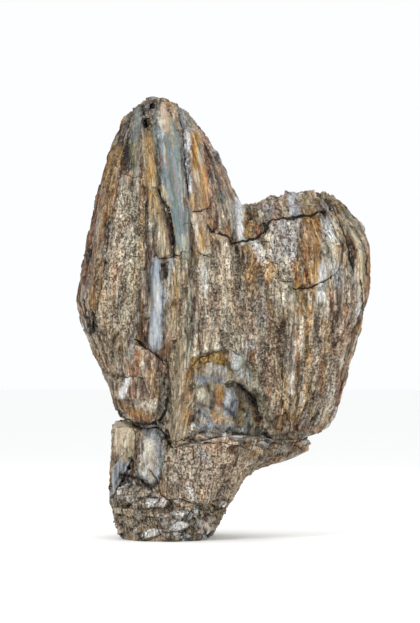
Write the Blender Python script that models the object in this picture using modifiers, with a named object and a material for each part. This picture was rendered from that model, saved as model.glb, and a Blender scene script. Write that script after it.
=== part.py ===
"""Petrified wood: a standing piece of fossil trunk on the broken root block that it rests on.

Metres, +Z up, +X to the right and -Y towards the viewer. The origin is the middle of the flat cut
face under the root block. Plan positions are read from the front view as columns and rows of the
reference photograph, and across() and up() turn them into metres.
"""

import math
import random

import bmesh
import bpy
from mathutils import Vector, noise

# Driving dimensions
HEIGHT = 1.75  # from the cut foot to the tip of the spire
SPIRE_FRONT = 0.35  # from the middle plane to the front of the spire, and to its back
SPIRE_BACK = 0.37
LOBE_FRONT = 0.22
LOBE_BACK = 0.10
ROOT_FRONT = 0.38
ROOT_BACK = 0.38
TOUCH_GAP = 0.0004  # between pieces that lie on each other
CRACK_DEPTH = 0.06
SLAB_ROOT = 0.06  # how far a slab reaches back into the body
GRAIN_RELIEF = 0.016  # ribs of the wood grain, ridge to groove
LUMP_RELIEF = 0.014
VOXEL = 0.009
TRUNK_FACES = 4700
ROOT_FACES = 1300
SMALLEST_FACE_GAP = 0.0001  # corners nearer than this are one corner

# The front view: rows at the tip and at the foot, and the column above the middle of the foot
TIP_ROW = 98.0
FOOT_ROW = 536.5
MIDDLE_COLUMN = 166.0
METRES_PER_PIXEL = HEIGHT / (FOOT_ROW - TIP_ROW)

RING_POINTS = 40
SQUARENESS = 2.3  # exponent of the body's rounded plan, 2 for an ellipse


def across(column):
    return (column - MIDDLE_COLUMN) * METRES_PER_PIXEL


def up(row):
    return (FOOT_ROW - row) * METRES_PER_PIXEL


# Bodies, as (row, left column, right column, share of the full front depth, share of the back)
SPIRE = (
    (97, 149, 154, 0.05, 0.10),
    (101, 146, 162, 0.16, 0.16),
    (106, 139.5, 178, 0.28, 0.25),
    (112, 131, 185.5, 0.38, 0.32),
    (123, 123, 194, 0.52, 0.42),
    (142, 113.5, 208, 0.66, 0.56),
    (166, 105, 220, 0.76, 0.70),
    (190, 99, 232, 0.84, 0.82),
    (212, 94, 244, 0.90, 0.90),
    (250, 85, 250, 0.95, 0.98),
    (300, 78, 252, 0.99, 1.0),
    (322, 82, 252, 1.0, 1.0),
    (350, 93, 252, 1.0, 1.0),
    (376, 107, 252, 0.98, 0.98),
    (398, 113.5, 252, 0.93, 0.96),
    (418, 119, 252, 0.86, 0.94),
    (452, 124, 252, 0.84, 0.92),
)
LOBE = (
    (192, 290, 327, 0.30, 0.25),
    (199, 266, 338, 0.52, 0.45),
    (209, 228, 351, 0.72, 0.62),
    (222, 214, 359.5, 0.86, 0.76),
    (242, 206, 367, 0.95, 0.88),
    (264, 204, 369.5, 1.0, 0.96),
    (292, 204, 368, 1.0, 1.0),
    (322, 204, 361, 0.98, 1.0),
    (352, 206, 353, 0.95, 0.96),
    (382, 208, 345.5, 0.90, 0.90),
    (408, 212, 338, 0.82, 0.80),
    (424, 216, 331, 0.74, 0.70),
    (440, 222, 321, 0.64, 0.60),
    (456, 226, 306, 0.58, 0.54),
)
ROOT = (
    (426, 113, 298, 0.74, 0.80),
    (440, 112.5, 308, 0.78, 0.84),
    (450, 112, 310, 0.80, 0.86),
    (458, 112, 292, 0.82, 0.90),
    (466, 111.5, 264, 0.84, 0.94),
    (474, 111, 247, 0.86, 0.97),
    (488, 111, 238, 0.88, 1.0),
    (500, 111, 231.5, 0.92, 1.0),
    (512, 113.5, 224.5, 0.95, 1.0),
    (524, 117.5, 217, 0.94, 1.0),
    (545, 123.5, 205, 0.90, 0.98),
)

# The parting between trunk and root block, as (column, row) from left to right
PARTING = (
    (60, 424), (113, 415), (132, 421), (146, 427), (158, 424), (166, 432),
    (172, 446), (182, 443), (196, 440), (214, 436), (236, 433), (256, 435),
    (278, 439), (300, 438), (316, 433), (332, 425), (380, 420),
)

# Slabs of split wood on the front: how far each stands out, and its sides as (row, left, right)
FRONT_SLABS = {
    "tip_splinter": (0.030, ((98, 149, 157), (104, 147.5, 155), (114, 145, 151))),
    "left_cap": (0.022, ((108, 134, 142), (120, 132, 142), (137, 133, 142))),
    "left_cap_edge": (0.010, ((114, 126, 132), (129, 121, 131))),
    "narrow_rib": (0.020, ((138, 133, 141), (158, 135, 143), (178, 137, 144))),
    "ochre_rib": (0.042, ((131, 145, 151), (145, 144, 156), (166, 145, 157), (184, 147, 160), (190, 150, 160))),
    "grey_plank": (
        0.030,
        (
            (99, 151.5, 158), (105, 151, 173), (115, 150, 181), (136, 153, 183), (160, 155.5, 185), (180, 158, 187),
            (196, 162, 188), (212, 169, 189.5), (232, 175, 190), (252, 180, 190), (300, 181, 191), (345, 184, 192),
        ),
    ),
    "behind_plank": (0.004, ((112, 177, 184), (130, 181, 193))),
    "banded_slab": (0.050, ((130, 186, 202), (154, 187, 212), (176, 188, 213.5), (196, 190, 212), (210, 191, 209))),
    "banded_slab_foot": (0.040, ((212, 191, 207), (225, 193, 209), (238, 195.5, 213), (248, 199, 210), (255, 202, 207))),
    "shoulder": (0.024, ((150, 213, 217), (180, 214, 229), (208, 211, 232), (231, 213, 229), (238, 226, 231))),
    "shoulder_edge": (0.012, ((186, 230, 233), (206, 231, 242), (242, 234, 244))),
    "upper_left_face": (0.012, ((172, 112, 137), (195, 111, 139), (217, 112, 139))),
    "ochre_strip": (0.026, ((176, 140, 147), (205, 140, 146), (240, 140, 145), (266, 141, 145))),
    "tan_rib": (0.018, ((192, 149, 160), (214, 148, 166), (236, 149, 173), (257, 152, 180))),
    "tan_rib_crest": (0.030, ((203, 161, 168), (232, 165, 172), (255, 169, 175))),
    "outer_left_rib": (0.018, ((196, 98, 104), (226, 94, 107), (256, 92, 105))),
    "inner_left_rib": (0.010, ((214, 102, 108), (245, 97, 107), (258, 95, 106))),
    "low_left_rib": (0.030, ((259, 93, 106), (285, 91, 102), (306, 88, 97), (317, 85, 91))),
    "big_left_face": (
        0.026,
        ((220, 110, 139), (250, 107.5, 140), (280, 104, 141), (305, 99, 139), (328, 95, 135), (348, 98, 131), (372, 108, 122)),
    ),
    "lilac_strip": (0.010, ((260, 151, 161), (300, 151, 162), (330, 149, 163), (350, 145, 162), (361, 155, 163))),
    "lilac_strip_right": (0.016, ((258, 167, 178), (275, 165, 177), (300, 164, 171), (330, 163, 167))),
    "brown_strip": (0.010, ((278, 171, 180), (305, 168, 179), (345, 165, 181))),
    "wedge_block": (
        0.056,
        ((346, 132, 142), (356, 126, 155), (374, 119, 163), (392, 116, 165), (404, 117, 162), (415, 128, 158), (424, 143, 153)),
    ),
    "standing_rib": (0.040, ((338, 167, 190), (365, 167, 191), (392, 169, 187), (415, 172, 183), (446, 174, 178))),
    "middle_face": (0.026, ((258, 196, 216), (290, 195, 217), (320, 195, 219), (349, 194, 221), (356, 194, 199))),
    "middle_rib": (0.040, ((240, 216, 231), (270, 217, 233), (300, 219, 240), (330, 222, 244), (349, 233, 245), (358, 243, 248))),
    "lobe_corner": (0.012, ((207, 245, 264), (222, 246, 266), (238, 246, 259))),
    "lobe_top_left": (0.012, ((203, 272, 292), (209, 268, 296), (217, 270, 298))),
    "lobe_top": (0.016, ((199, 296, 319), (205, 296, 324), (213, 299, 328))),
    "lobe_pale_face": (0.020, ((222, 270, 301), (240, 267, 300), (258, 268, 297), (279, 279, 294))),
    "lobe_brown_rib": (0.034, ((218, 303, 318), (245, 300, 324), (270, 296, 324), (286, 297, 320))),
    "lobe_right_face": (0.014, ((216, 322, 336), (245, 326, 346), (275, 330, 350), (312, 333, 356), (350, 336, 350))),
    "lobe_far_rib": (0.016, ((222, 341, 353), (250, 350, 362), (284, 354, 364))),
    "lobe_left_face": (0.030, ((246, 236, 266), (275, 236, 272), (305, 240, 277), (335, 244, 279), (362, 258, 281), (386, 268, 281), (410, 271, 281), (428, 272, 280))),
    "lobe_low_rib": (0.026, ((290, 284, 300), (330, 285, 302), (370, 284, 305), (405, 284, 308), (432, 288, 309))),
    "lobe_low_right": (0.016, ((292, 303, 330), (330, 306, 332), (370, 308, 331), (400, 311, 328), (424, 312, 325))),
    "lobe_low_edge": (0.020, ((352, 336, 342), (380, 333, 339), (410, 329, 334))),
}
ROOT_SLABS = {
    "left_face": (0.012, ((418, 112, 134), (436, 112, 138), (462, 113, 137))),
    "pale_face": (0.034, ((424, 144, 160), (437, 137, 168), (455, 135, 166), (475, 137, 160), (490, 143, 156))),
    "granular_block": (0.060, ((442, 172, 216), (452, 168, 236), (470, 163, 244), (488, 160, 238), (500, 164, 228))),
    "shelf_lens": (0.050, ((434, 206, 232), (439, 198, 246), (444, 204, 252))),
    "shelf": (0.030, ((436, 240, 302), (446, 246, 306), (455, 250, 292))),
    "low_stone_left": (0.022, ((511, 156, 180), (521, 155, 188), (534, 160, 186))),
    "low_stone_right": (0.024, ((514, 198, 214), (524, 192, 212), (536, 194, 208))),
    "low_stone_middle": (0.016, ((500, 176, 192), (509, 169, 196), (517, 172, 190))),
    "rubble_left": (0.020, ((492, 116, 150), (506, 113, 152), (522, 118, 150), (537, 124, 148))),
}

# Hollows in the front, as (column, row, half width, half height, half depth), all but depth in pixels
HOLLOWS = (
    (229, 392, 37, 40, 0.085),
    (243, 404, 18, 22, 0.115),
    (206, 408, 19, 24, 0.070),
    (146.5, 125, 2.8, 6.5, 0.035),
    (152, 110, 2.4, 7, 0.035),
    (125, 150, 7.5, 20, 0.022),
    (90, 325, 6, 9, 0.035),
)

# Open cracks: half width, and the line as (column, row)
CRACKS = {
    "shoulder_crack": (0.0042, ((211, 231), (220, 232), (230, 238), (233, 244), (242, 241), (254, 239.5), (261, 234), (267, 230))),
    "lobe_top_crack": (0.0036, ((267, 230), (269, 221), (278, 219), (290, 217), (298, 218), (304, 215.5), (310, 216), (319, 212.5), (330, 210))),
    "lobe_lower_crack": (0.0034, ((294, 287), (302, 288), (310, 286), (320, 283), (332, 277.5))),
    "lobe_side_crack": (0.0034, ((336, 218), (343.5, 232), (347, 242), (350, 254), (352, 268))),
    "lobe_long_crack": (0.0030, ((273, 320), (279, 329), (282, 345), (282.5, 381), (282, 412), (285, 434))),
    "plank_crack": (0.0046, ((158, 189), (163, 200), (168, 210), (172, 222), (174, 240), (176, 256))),
    "ledge_crack": (0.0034, ((153, 255), (162, 259), (171, 258), (177, 257), (183, 252.5))),
    "block_crack": (0.0046, ((137, 343), (149, 350), (157, 356), (164, 366), (166, 390), (165, 410))),
    "slab_crack": (0.0032, ((190, 212), (199, 210.5), (209, 209))),
    "plank_right_crack": (0.0040, ((182, 130), (185, 150), (187, 175), (188.5, 205))),
    "left_crack": (0.0034, ((107, 262), (104, 290), (98, 312), (90, 322))),
}

# Loose pieces at the foot: the outline as (column, row), how far each stands out, and its depth
LOOSE_PIECES = {
    "splinter": (((112.5, 466), (127, 450), (133, 458), (125, 476), (113, 497)), 0.036, 0.12),
    "left_flake": (((119, 486), (129, 480), (140, 487), (137, 500), (125, 504), (118, 497)), 0.030, 0.08),
    "right_chip": (((211, 499), (219, 496.5), (227, 500), (225, 506), (213, 507)), 0.034, 0.07),
}

BACK_SLABS = 30
SHALLOWEST = 0.13  # a back slab needs this much body behind it
SEED = 11


def level_between(bodies, row):
    """Left, right, front and back shares of a body at a row, or None above or below it."""
    if not bodies[0][0] <= row <= bodies[-1][0]:
        return None
    for low, high in zip(bodies, bodies[1:]):
        if row <= high[0]:
            share = (row - low[0]) / (high[0] - low[0])
            return [a + (b - a) * share for a, b in zip(low[1:], high[1:])]
    return None


def skin(bodies, column, row, side):
    """Y of a body's surface at a place of the front view, for side -1 (front) or +1 (back)."""
    found = 0.0
    for sections, front, back in bodies:
        at = level_between(sections, row)
        if at is None:
            continue
        left, right, front_share, back_share = at
        reach = (column - (left + right) / 2) / ((right - left) / 2)
        if abs(reach) >= 1:
            continue
        depth = front * front_share if side < 0 else back * back_share
        found = max(found, depth * (1 - abs(reach) ** SQUARENESS) ** (1 / SQUARENESS))
    return side * found


def loft(name, rings):
    """A closed solid through rings of equal length, with both ends capped."""
    shape = bmesh.new()
    rows = [[shape.verts.new(point) for point in ring] for ring in rings]
    count = len(rings[0])
    for low, high in zip(rows, rows[1:]):
        for i in range(count):
            j = (i + 1) % count
            shape.faces.new((low[i], low[j], high[j], high[i]))
    shape.faces.new(list(reversed(rows[0])))
    shape.faces.new(rows[-1])
    bmesh.ops.recalc_face_normals(shape, faces=shape.faces)
    mesh = bpy.data.meshes.new(name)
    shape.to_mesh(mesh)
    shape.free()
    return bpy.data.objects.new(name, mesh)


def body(name, sections, front, back):
    """A trunk-like mass whose plan is a rounded oval at each row."""
    rings = []
    for row, left, right, front_share, back_share in sections:
        middle = across((left + right) / 2)
        half = across(right) - middle
        ring = []
        for i in range(RING_POINTS):
            turn = 2 * math.pi * i / RING_POINTS
            c, s = math.cos(turn), math.sin(turn)
            x = half * math.copysign(abs(c) ** (2 / SQUARENESS), c)
            depth = back * back_share if s > 0 else front * front_share
            y = depth * math.copysign(abs(s) ** (2 / SQUARENESS), s)
            ring.append(Vector((middle + x, y, up(row))))
        rings.append(ring)
    return loft(name, rings)


def slab(name, bodies, proud, stations, side=-1):
    """A plank of split wood on the skin: flat-faced, with chamfered sides and square ends."""
    rings = []
    for row, left, right in stations:
        width = right - left
        skin_y = [skin(bodies, left + width * share, row, side) for share in (0.08, 0.5, 0.92)]
        outer = [y + side * proud for y in skin_y]
        edge = [y + side * proud * 0.45 for y in skin_y]
        inner = side * max(abs(sum(skin_y) / 3) - SLAB_ROOT, 0.0)
        z = up(row)
        rings.append(
            [
                Vector((across(left), inner, z)),
                Vector((across(left), edge[0], z)),
                Vector((across(left + 0.14 * width), outer[0], z)),
                Vector((across(left + 0.50 * width), outer[1], z)),
                Vector((across(right - 0.14 * width), outer[2], z)),
                Vector((across(right), edge[2], z)),
                Vector((across(right), inner, z)),
            ]
        )
    return loft(name, rings)


def back_slabs(bodies, rows, columns, count, rng):
    """Planks like the front's, spread over the back, where the photograph shows nothing."""
    made = []
    for i in range(count):
        column = columns[0] + (columns[1] - columns[0]) * ((i * 0.618) % 1)
        top = rng.uniform(rows[0], rows[1] - 90)
        length = rng.uniform(70, 170)
        width = rng.uniform(12, 26)
        proud = rng.uniform(0.012, 0.04)
        lean = (MIDDLE_COLUMN + 10 - column) * 0.10
        stations = []
        for share in (0.0, 0.35, 0.7, 1.0):
            middle = column - lean * (share - 0.5) + rng.uniform(-1.5, 1.5)
            half = width / 2 * (0.75 if share in (0.0, 1.0) else 1.0)
            row = top + share * length
            sides = [skin(bodies, middle + reach * half, row, 1) for reach in (-1, 1)]
            if row <= rows[1] and min(sides) > SHALLOWEST * (0.5 if column > 250 else 1.0):
                stations.append((row, middle - half, middle + half))
        if len(stations) > 1:
            made.append(slab(f"back_{i}", bodies, proud, stations, side=1))
    return made


def joined(name, pieces):
    """One object of the pieces' meshes, which overlap until the remesh fuses them."""
    shape = bmesh.new()
    for piece in pieces:
        shape.from_mesh(piece.data)
        bpy.data.objects.remove(piece)
    mesh = bpy.data.meshes.new(name)
    shape.to_mesh(mesh)
    shape.free()
    return bpy.data.objects.new(name, mesh)


def weather(obj):
    """Ribs that follow the grain up the wood, and broader lumps, moved along the normals."""
    normals = [vertex.normal.copy() for vertex in obj.data.vertices]
    moved = []
    for vertex, normal in zip(obj.data.vertices, normals):
        x, y, z = vertex.co
        ribs = noise.noise(Vector((x * 26, y * 26, z * 3.2)))
        fine = noise.noise(Vector((x * 60, y * 60, z * 9)))
        lumps = noise.noise(Vector((x * 7, y * 7, z * 5)) + Vector((4.0, 1.0, 7.0)))
        push = GRAIN_RELIEF * (ribs + 0.4 * fine) + LUMP_RELIEF * lumps
        edge = min(1.0, abs(normal.y) * 1.6 + 0.15)  # the outline keeps its measured place
        moved.extend(vertex.co + normal * push * edge)
    obj.data.vertices.foreach_set("co", moved)
    obj.data.update()


def fused(obj, faces):
    """The joined shapes as one weathered skin of about this many faces."""
    remesh = obj.modifiers.new("fuse", "REMESH")
    remesh.mode = "VOXEL"
    remesh.voxel_size = VOXEL
    scene = bpy.context.scene.collection
    scene.objects.link(obj)
    graph = bpy.context.evaluated_depsgraph_get()
    mesh = bpy.data.meshes.new_from_object(obj.evaluated_get(graph))
    scene.objects.unlink(obj)
    obj.modifiers.clear()
    obj.data = mesh
    weather(obj)
    decimate = obj.modifiers.new("facets", "DECIMATE")
    decimate.ratio = faces / (2 * len(mesh.polygons))
    return obj


def box_cutter(name, low, high):
    shape = bmesh.new()
    bmesh.ops.create_cube(shape, size=1.0)
    for vertex in shape.verts:
        vertex.co = Vector([l + (h - l) * (c + 0.5) for l, h, c in zip(low, high, vertex.co)])
    mesh = bpy.data.meshes.new(name)
    shape.to_mesh(mesh)
    shape.free()
    return bpy.data.objects.new(name, mesh)


def parting_cutter(name, lift, floor_row):
    """Everything between the parting, moved up by lift, and a level far from it."""
    line = [(across(column), up(row) + lift) for column, row in PARTING]
    far = up(floor_row)
    rings = []
    for y in (-1.0, 1.0):
        ring = [Vector((x, y, z)) for x, z in line]
        ring += [Vector((line[-1][0], y, far)), Vector((line[0][0], y, far))]
        rings.append(ring)
    return loft(name, rings)


def crack_cutter(name, bodies, half_width, line):
    """A thin wedge along a crack, open at the skin and closing inside the stone."""
    rings = []
    last = len(line) - 1
    for i, (column, row) in enumerate(line):
        before, after = line[max(i - 1, 0)], line[min(i + 1, last)]
        run = Vector((after[0] - before[0], 0, before[1] - after[1])).normalized()
        side = Vector((-run.z, 0, run.x))
        spread = half_width * (0.35 if i in (0, last) else 1.0)
        surface = skin(bodies, column, row, -1)
        here = Vector((across(column), 0, up(row)))
        outer, inner = Vector((0, surface - 0.12, 0)), Vector((0, surface + CRACK_DEPTH * 0.7, 0))
        rings.append([here + side * spread * 1.5 + outer, here - side * spread * 1.5 + outer,
                      here - side * spread * 0.4 + inner, here + side * spread * 0.4 + inner])
    return loft(name, rings)


def hollow_cutter(name, bodies, column, row, half_width, half_height, half_depth):
    """A rough-walled hollow, centred on the skin."""
    shape = bmesh.new()
    bmesh.ops.create_icosphere(shape, subdivisions=3, radius=1.0)
    size = (half_width * METRES_PER_PIXEL, half_depth, half_height * METRES_PER_PIXEL)
    centre = Vector((across(column), skin(bodies, column, row, -1) - 0.25 * half_depth, up(row)))
    for vertex in shape.verts:
        rough = 1 + 0.16 * noise.noise(vertex.co * 2.6 + Vector((column, row, 0)))
        vertex.co = centre + Vector([c * s * rough for c, s in zip(vertex.co, size)])
    mesh = bpy.data.meshes.new(name)
    shape.to_mesh(mesh)
    shape.free()
    return bpy.data.objects.new(name, mesh)


def largest_part(mesh):
    """Takes away the crumbs that a crack or a hollow leaves free, and corners that coincide."""
    shape = bmesh.new()
    shape.from_mesh(mesh)
    bmesh.ops.remove_doubles(shape, verts=shape.verts, dist=SMALLEST_FACE_GAP)
    bmesh.ops.triangulate(shape, faces=shape.faces)
    left = set(shape.verts)
    groups = []
    while left:
        group, edge = set(), [left.pop()]
        while edge:
            vertex = edge.pop()
            group.add(vertex)
            near = [link.other_vert(vertex) for link in vertex.link_edges]
            fresh = [other for other in near if other in left]
            left.difference_update(fresh)
            edge.extend(fresh)
        groups.append(group)
    groups.sort(key=len)
    crumbs = [vertex for group in groups[:-1] for vertex in group]
    bmesh.ops.delete(shape, geom=crumbs, context="VERTS")
    shape.to_mesh(mesh)
    shape.free()


def cut(obj, cutters, collection):
    """Takes each cutter out of the object, and keeps the cutters as hidden helpers."""
    scene = bpy.context.scene.collection
    scene.objects.link(obj)
    for cutter in cutters:
        collection.objects.link(cutter)
        cutter.hide_render = True
        cutter.display_type = "WIRE"
        boolean = obj.modifiers.new(cutter.name, "BOOLEAN")
        boolean.operation = "DIFFERENCE"
        boolean.solver = "EXACT"
        boolean.object = cutter
    graph = bpy.context.evaluated_depsgraph_get()
    mesh = bpy.data.meshes.new_from_object(obj.evaluated_get(graph))
    scene.objects.unlink(obj)
    obj.modifiers.clear()
    largest_part(mesh)
    obj.data = mesh


def stone(name, colour, roughness=0.8):
    material = bpy.data.materials.new(name)
    material.use_nodes = True
    shader = material.node_tree.nodes["Principled BSDF"]
    shader.inputs["Base Color"].default_value = (*colour, 1)
    shader.inputs["Roughness"].default_value = roughness
    shader.inputs["Metallic"].default_value = 0
    return material


def loose_piece(name, outline, proud, depth, grown=0.0):
    """A split piece with an outline of the front view: blunt in front and narrower behind."""
    bodies = ((ROOT, ROOT_FRONT, ROOT_BACK),)
    points = [Vector((across(column), 0, up(row))) for column, row in outline]
    middle = sum(points, Vector()) / len(points)
    column, row = (sum(values) / len(outline) for values in zip(*outline))
    front = skin(bodies, column, row, -1) - proud
    rings = []
    for y, scale in ((0.0, 0.80), (0.3 * depth, 1.0), (depth, 0.7)):
        ring = []
        for point in points:
            arm = (point - middle) * scale
            arm += arm.normalized() * grown
            ring.append(middle + arm + Vector((0, front + y + math.copysign(grown, y - 0.01), 0)))
        rings.append(ring)
    return loft(name, rings)


def make_trunk(cutters):
    bodies = ((SPIRE, SPIRE_FRONT, SPIRE_BACK), (LOBE, LOBE_FRONT, LOBE_BACK))
    pieces = [body("spire", *bodies[0]), body("lobe", *bodies[1])]
    pieces += [slab(name, bodies, *about) for name, about in FRONT_SLABS.items()]
    rng = random.Random(SEED)
    pieces += back_slabs(bodies, (130, 440), (105, 345), BACK_SLABS, rng)
    trunk = fused(joined("trunk", pieces), TRUNK_FACES)
    takers = [hollow_cutter(f"hollow_{i}", bodies, *about) for i, about in enumerate(HOLLOWS)]
    takers += [crack_cutter(name, bodies, *about) for name, about in CRACKS.items()]
    takers.append(parting_cutter("below_the_parting", 0.0, 620))
    cut(trunk, takers, cutters)
    trunk.data.materials.append(stone("trunk_stone", (0.36, 0.26, 0.16)))
    return trunk


def make_root_block(cutters):
    bodies = ((ROOT, ROOT_FRONT, ROOT_BACK),)
    pieces = [body("root", *bodies[0])]
    pieces += [slab(name, bodies, *about) for name, about in ROOT_SLABS.items()]
    block = fused(joined("root_block", pieces), ROOT_FACES)
    takers = [
        parting_cutter("above_the_parting", -TOUCH_GAP, 300),
        box_cutter("below_the_foot", (-1, -1, -0.3), (1, 1, 0)),
    ]
    for name, about in LOOSE_PIECES.items():
        takers.append(loose_piece(f"seat_of_{name}", *about, grown=2 * TOUCH_GAP))
    cut(block, takers, cutters)
    block.data.materials.append(stone("root_stone", (0.40, 0.32, 0.25)))
    return block


def make_loose_pieces():
    pieces = [loose_piece(name, *about) for name, about in LOOSE_PIECES.items()]
    for piece, colour in zip(pieces, ((0.42, 0.38, 0.33), (0.40, 0.33, 0.30), (0.60, 0.57, 0.54))):
        piece.data.materials.append(stone(f"{piece.name}_stone", colour))
    return pieces


def main():
    for obj in list(bpy.data.objects):
        bpy.data.objects.remove(obj)
    parts = bpy.data.collections.new("petrified_wood")
    cutters = bpy.data.collections.new("cutters")
    for collection in (parts, cutters):
        bpy.context.scene.collection.children.link(collection)
    for piece in (make_trunk(cutters), make_root_block(cutters), *make_loose_pieces()):
        parts.objects.link(piece)


main()
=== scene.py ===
"""Petrified wood: the split, weathered stone of a standing fossil trunk on its root block."""

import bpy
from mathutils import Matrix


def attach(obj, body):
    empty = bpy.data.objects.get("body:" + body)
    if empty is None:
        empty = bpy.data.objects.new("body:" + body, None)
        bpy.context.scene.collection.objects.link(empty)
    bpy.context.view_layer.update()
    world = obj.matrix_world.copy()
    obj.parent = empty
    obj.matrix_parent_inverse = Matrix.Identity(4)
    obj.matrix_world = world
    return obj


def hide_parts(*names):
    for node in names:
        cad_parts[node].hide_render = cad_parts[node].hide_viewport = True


bl_info = {
    "name": "Petrified Wood",
    "version": (1, 0, 0),
    "blender": (4, 5, 0),
    "location": "3D View > Sidebar > Stone",
    "description": "Weathers a petrified trunk and its root block, and sets them on a studio floor",
    "category": "Object",
}

import math

import bmesh
import bpy
import numpy as np
from bpy.props import FloatProperty, FloatVectorProperty, PointerProperty
from mathutils import Vector

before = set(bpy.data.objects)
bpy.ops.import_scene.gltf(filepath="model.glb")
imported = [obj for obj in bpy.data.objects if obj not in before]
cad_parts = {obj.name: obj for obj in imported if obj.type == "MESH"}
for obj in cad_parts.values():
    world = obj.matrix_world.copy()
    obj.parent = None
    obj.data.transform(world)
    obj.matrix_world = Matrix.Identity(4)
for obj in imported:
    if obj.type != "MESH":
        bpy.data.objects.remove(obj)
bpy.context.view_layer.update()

# The photograph's frame, and the plane of the stone's outline in it
PICTURE_COLUMNS = 420
PICTURE_ROWS = 623
TIP_ROW = 98.0
FOOT_ROW = 536.5
MIDDLE_COLUMN = 166.0
METRES_PER_PIXEL = 1.75 / (FOOT_ROW - TIP_ROW)
CAMERA_DISTANCE = 16.0
PARTING_HEIGHT = 0.41  # about where the trunk meets the root block
CAMERA_X = (PICTURE_COLUMNS / 2 - MIDDLE_COLUMN) * METRES_PER_PIXEL
CAMERA_Z = (FOOT_ROW - PICTURE_ROWS / 2) * METRES_PER_PIXEL


def srgb(red, green, blue):
    """A colour as a screen shows it, 0 to 255, as the linear colour that Blender mixes."""
    shares = [value / 255 for value in (red, green, blue)]
    return tuple(v / 12.92 if v <= 0.04045 else ((v + 0.055) / 1.055) ** 2.4 for v in shares)


def colour_property(name, description, colour):
    """A colour that the user can change, given as a screen shows it."""
    return FloatVectorProperty(
        name=name, description=description, subtype="COLOR", size=3, min=0, max=1, default=srgb(*colour)
    )


class StoneSettings(bpy.types.PropertyGroup):
    """Sizes and colours of the petrified wood."""

    mesh_step: FloatProperty(
        name="Mesh step", description="Spacing of the fine surface", default=0.0042, unit="LENGTH"
    )
    plank_rise: FloatProperty(
        name="Plank rise", description="How far split planks differ in height", default=0.014, unit="LENGTH"
    )
    plank_groove: FloatProperty(
        name="Plank groove", description="Depth of the seams between planks", default=0.010, unit="LENGTH"
    )
    flake_rise: FloatProperty(
        name="Flake rise", description="How far flakes differ in height", default=0.007, unit="LENGTH"
    )
    fibre_rise: FloatProperty(
        name="Fibre rise", description="Height of the wood's fibres", default=0.0038, unit="LENGTH"
    )
    chunk_rise: FloatProperty(
        name="Rubble rise", description="How far rubble differs in height", default=0.018, unit="LENGTH"
    )
    grit_rise: FloatProperty(
        name="Grit rise", description="Height of the granular crust", default=0.0022, unit="LENGTH"
    )
    contrast: FloatProperty(
        name="Contrast", description="How far colours lie from their middle", default=1.25, min=0.5, max=2.0
    )
    tan: colour_property("Tan", "The plain stone", (170, 156, 124))
    pink: colour_property("Pink tan", "Fresh granular stone", (188, 166, 140))
    cream: colour_property("Cream", "Pale fibres", (218, 210, 188))
    white: colour_property("White", "Opal and quartz", (222, 224, 222))
    lilac: colour_property("Lilac grey", "Agate strips", (153, 157, 160))
    blue: colour_property("Blue grey", "The smooth plank", (120, 126, 120))
    grey: colour_property("Grey", "Dull strips", (140, 141, 128))
    green: colour_property("Green grey", "Thin lichen", (118, 122, 94))
    olive: colour_property("Olive", "Weathered crown", (130, 116, 78))
    ochre: colour_property("Ochre", "Iron-stained wood", (176, 138, 80))
    gold: colour_property("Gold", "Bright ochre in the hollow", (192, 156, 84))
    rust: colour_property("Rust", "Iron streaks", (148, 94, 56))
    brown: colour_property("Brown", "Old bark", (98, 80, 56))
    # Umber is deep wood, and also painted shade along cracks, in hollows and in seams
    umber: colour_property("Umber", "Deep wood", (60, 50, 38))
    # Black is painted shade in open cracks, holes and gaps
    black: colour_property("Black", "Open cracks", (16, 14, 12))
    floor: colour_property("Floor", "The studio floor", (250, 250, 249))


# Directions of the grain: seven lines up the wood, as columns of the picture at each row
GRAIN_ROWS = (90, 130, 166, 200, 250, 300, 350, 400, 440, 480, 540)
GRAIN_LINES = (
    (145, 119, 104, 96, 84, 78, 92, 113, 112, 111, 119),
    (148, 138, 134, 131, 127, 121, 117, 119, 124, 127, 138),
    (151, 146, 151, 155, 156, 156, 155, 152, 150, 152, 160),
    (170, 181, 185, 187, 190, 191, 190, 186, 178, 180, 186),
    (184, 198, 214, 227, 232, 234, 237, 239, 236, 222, 206),
    (240, 250, 262, 270, 281, 282, 282.5, 282, 276, 258, 232),
    (310, 318, 328, 338, 368, 366, 354, 340, 318, 290, 256),
)
GRAIN_AT_REST = GRAIN_ROWS.index(300)
DEPTH_ROWS = (90, 112, 142, 190, 250, 560)
DEPTH_TAPER = (0.30, 0.45, 0.68, 0.86, 1.0, 1.0)

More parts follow.
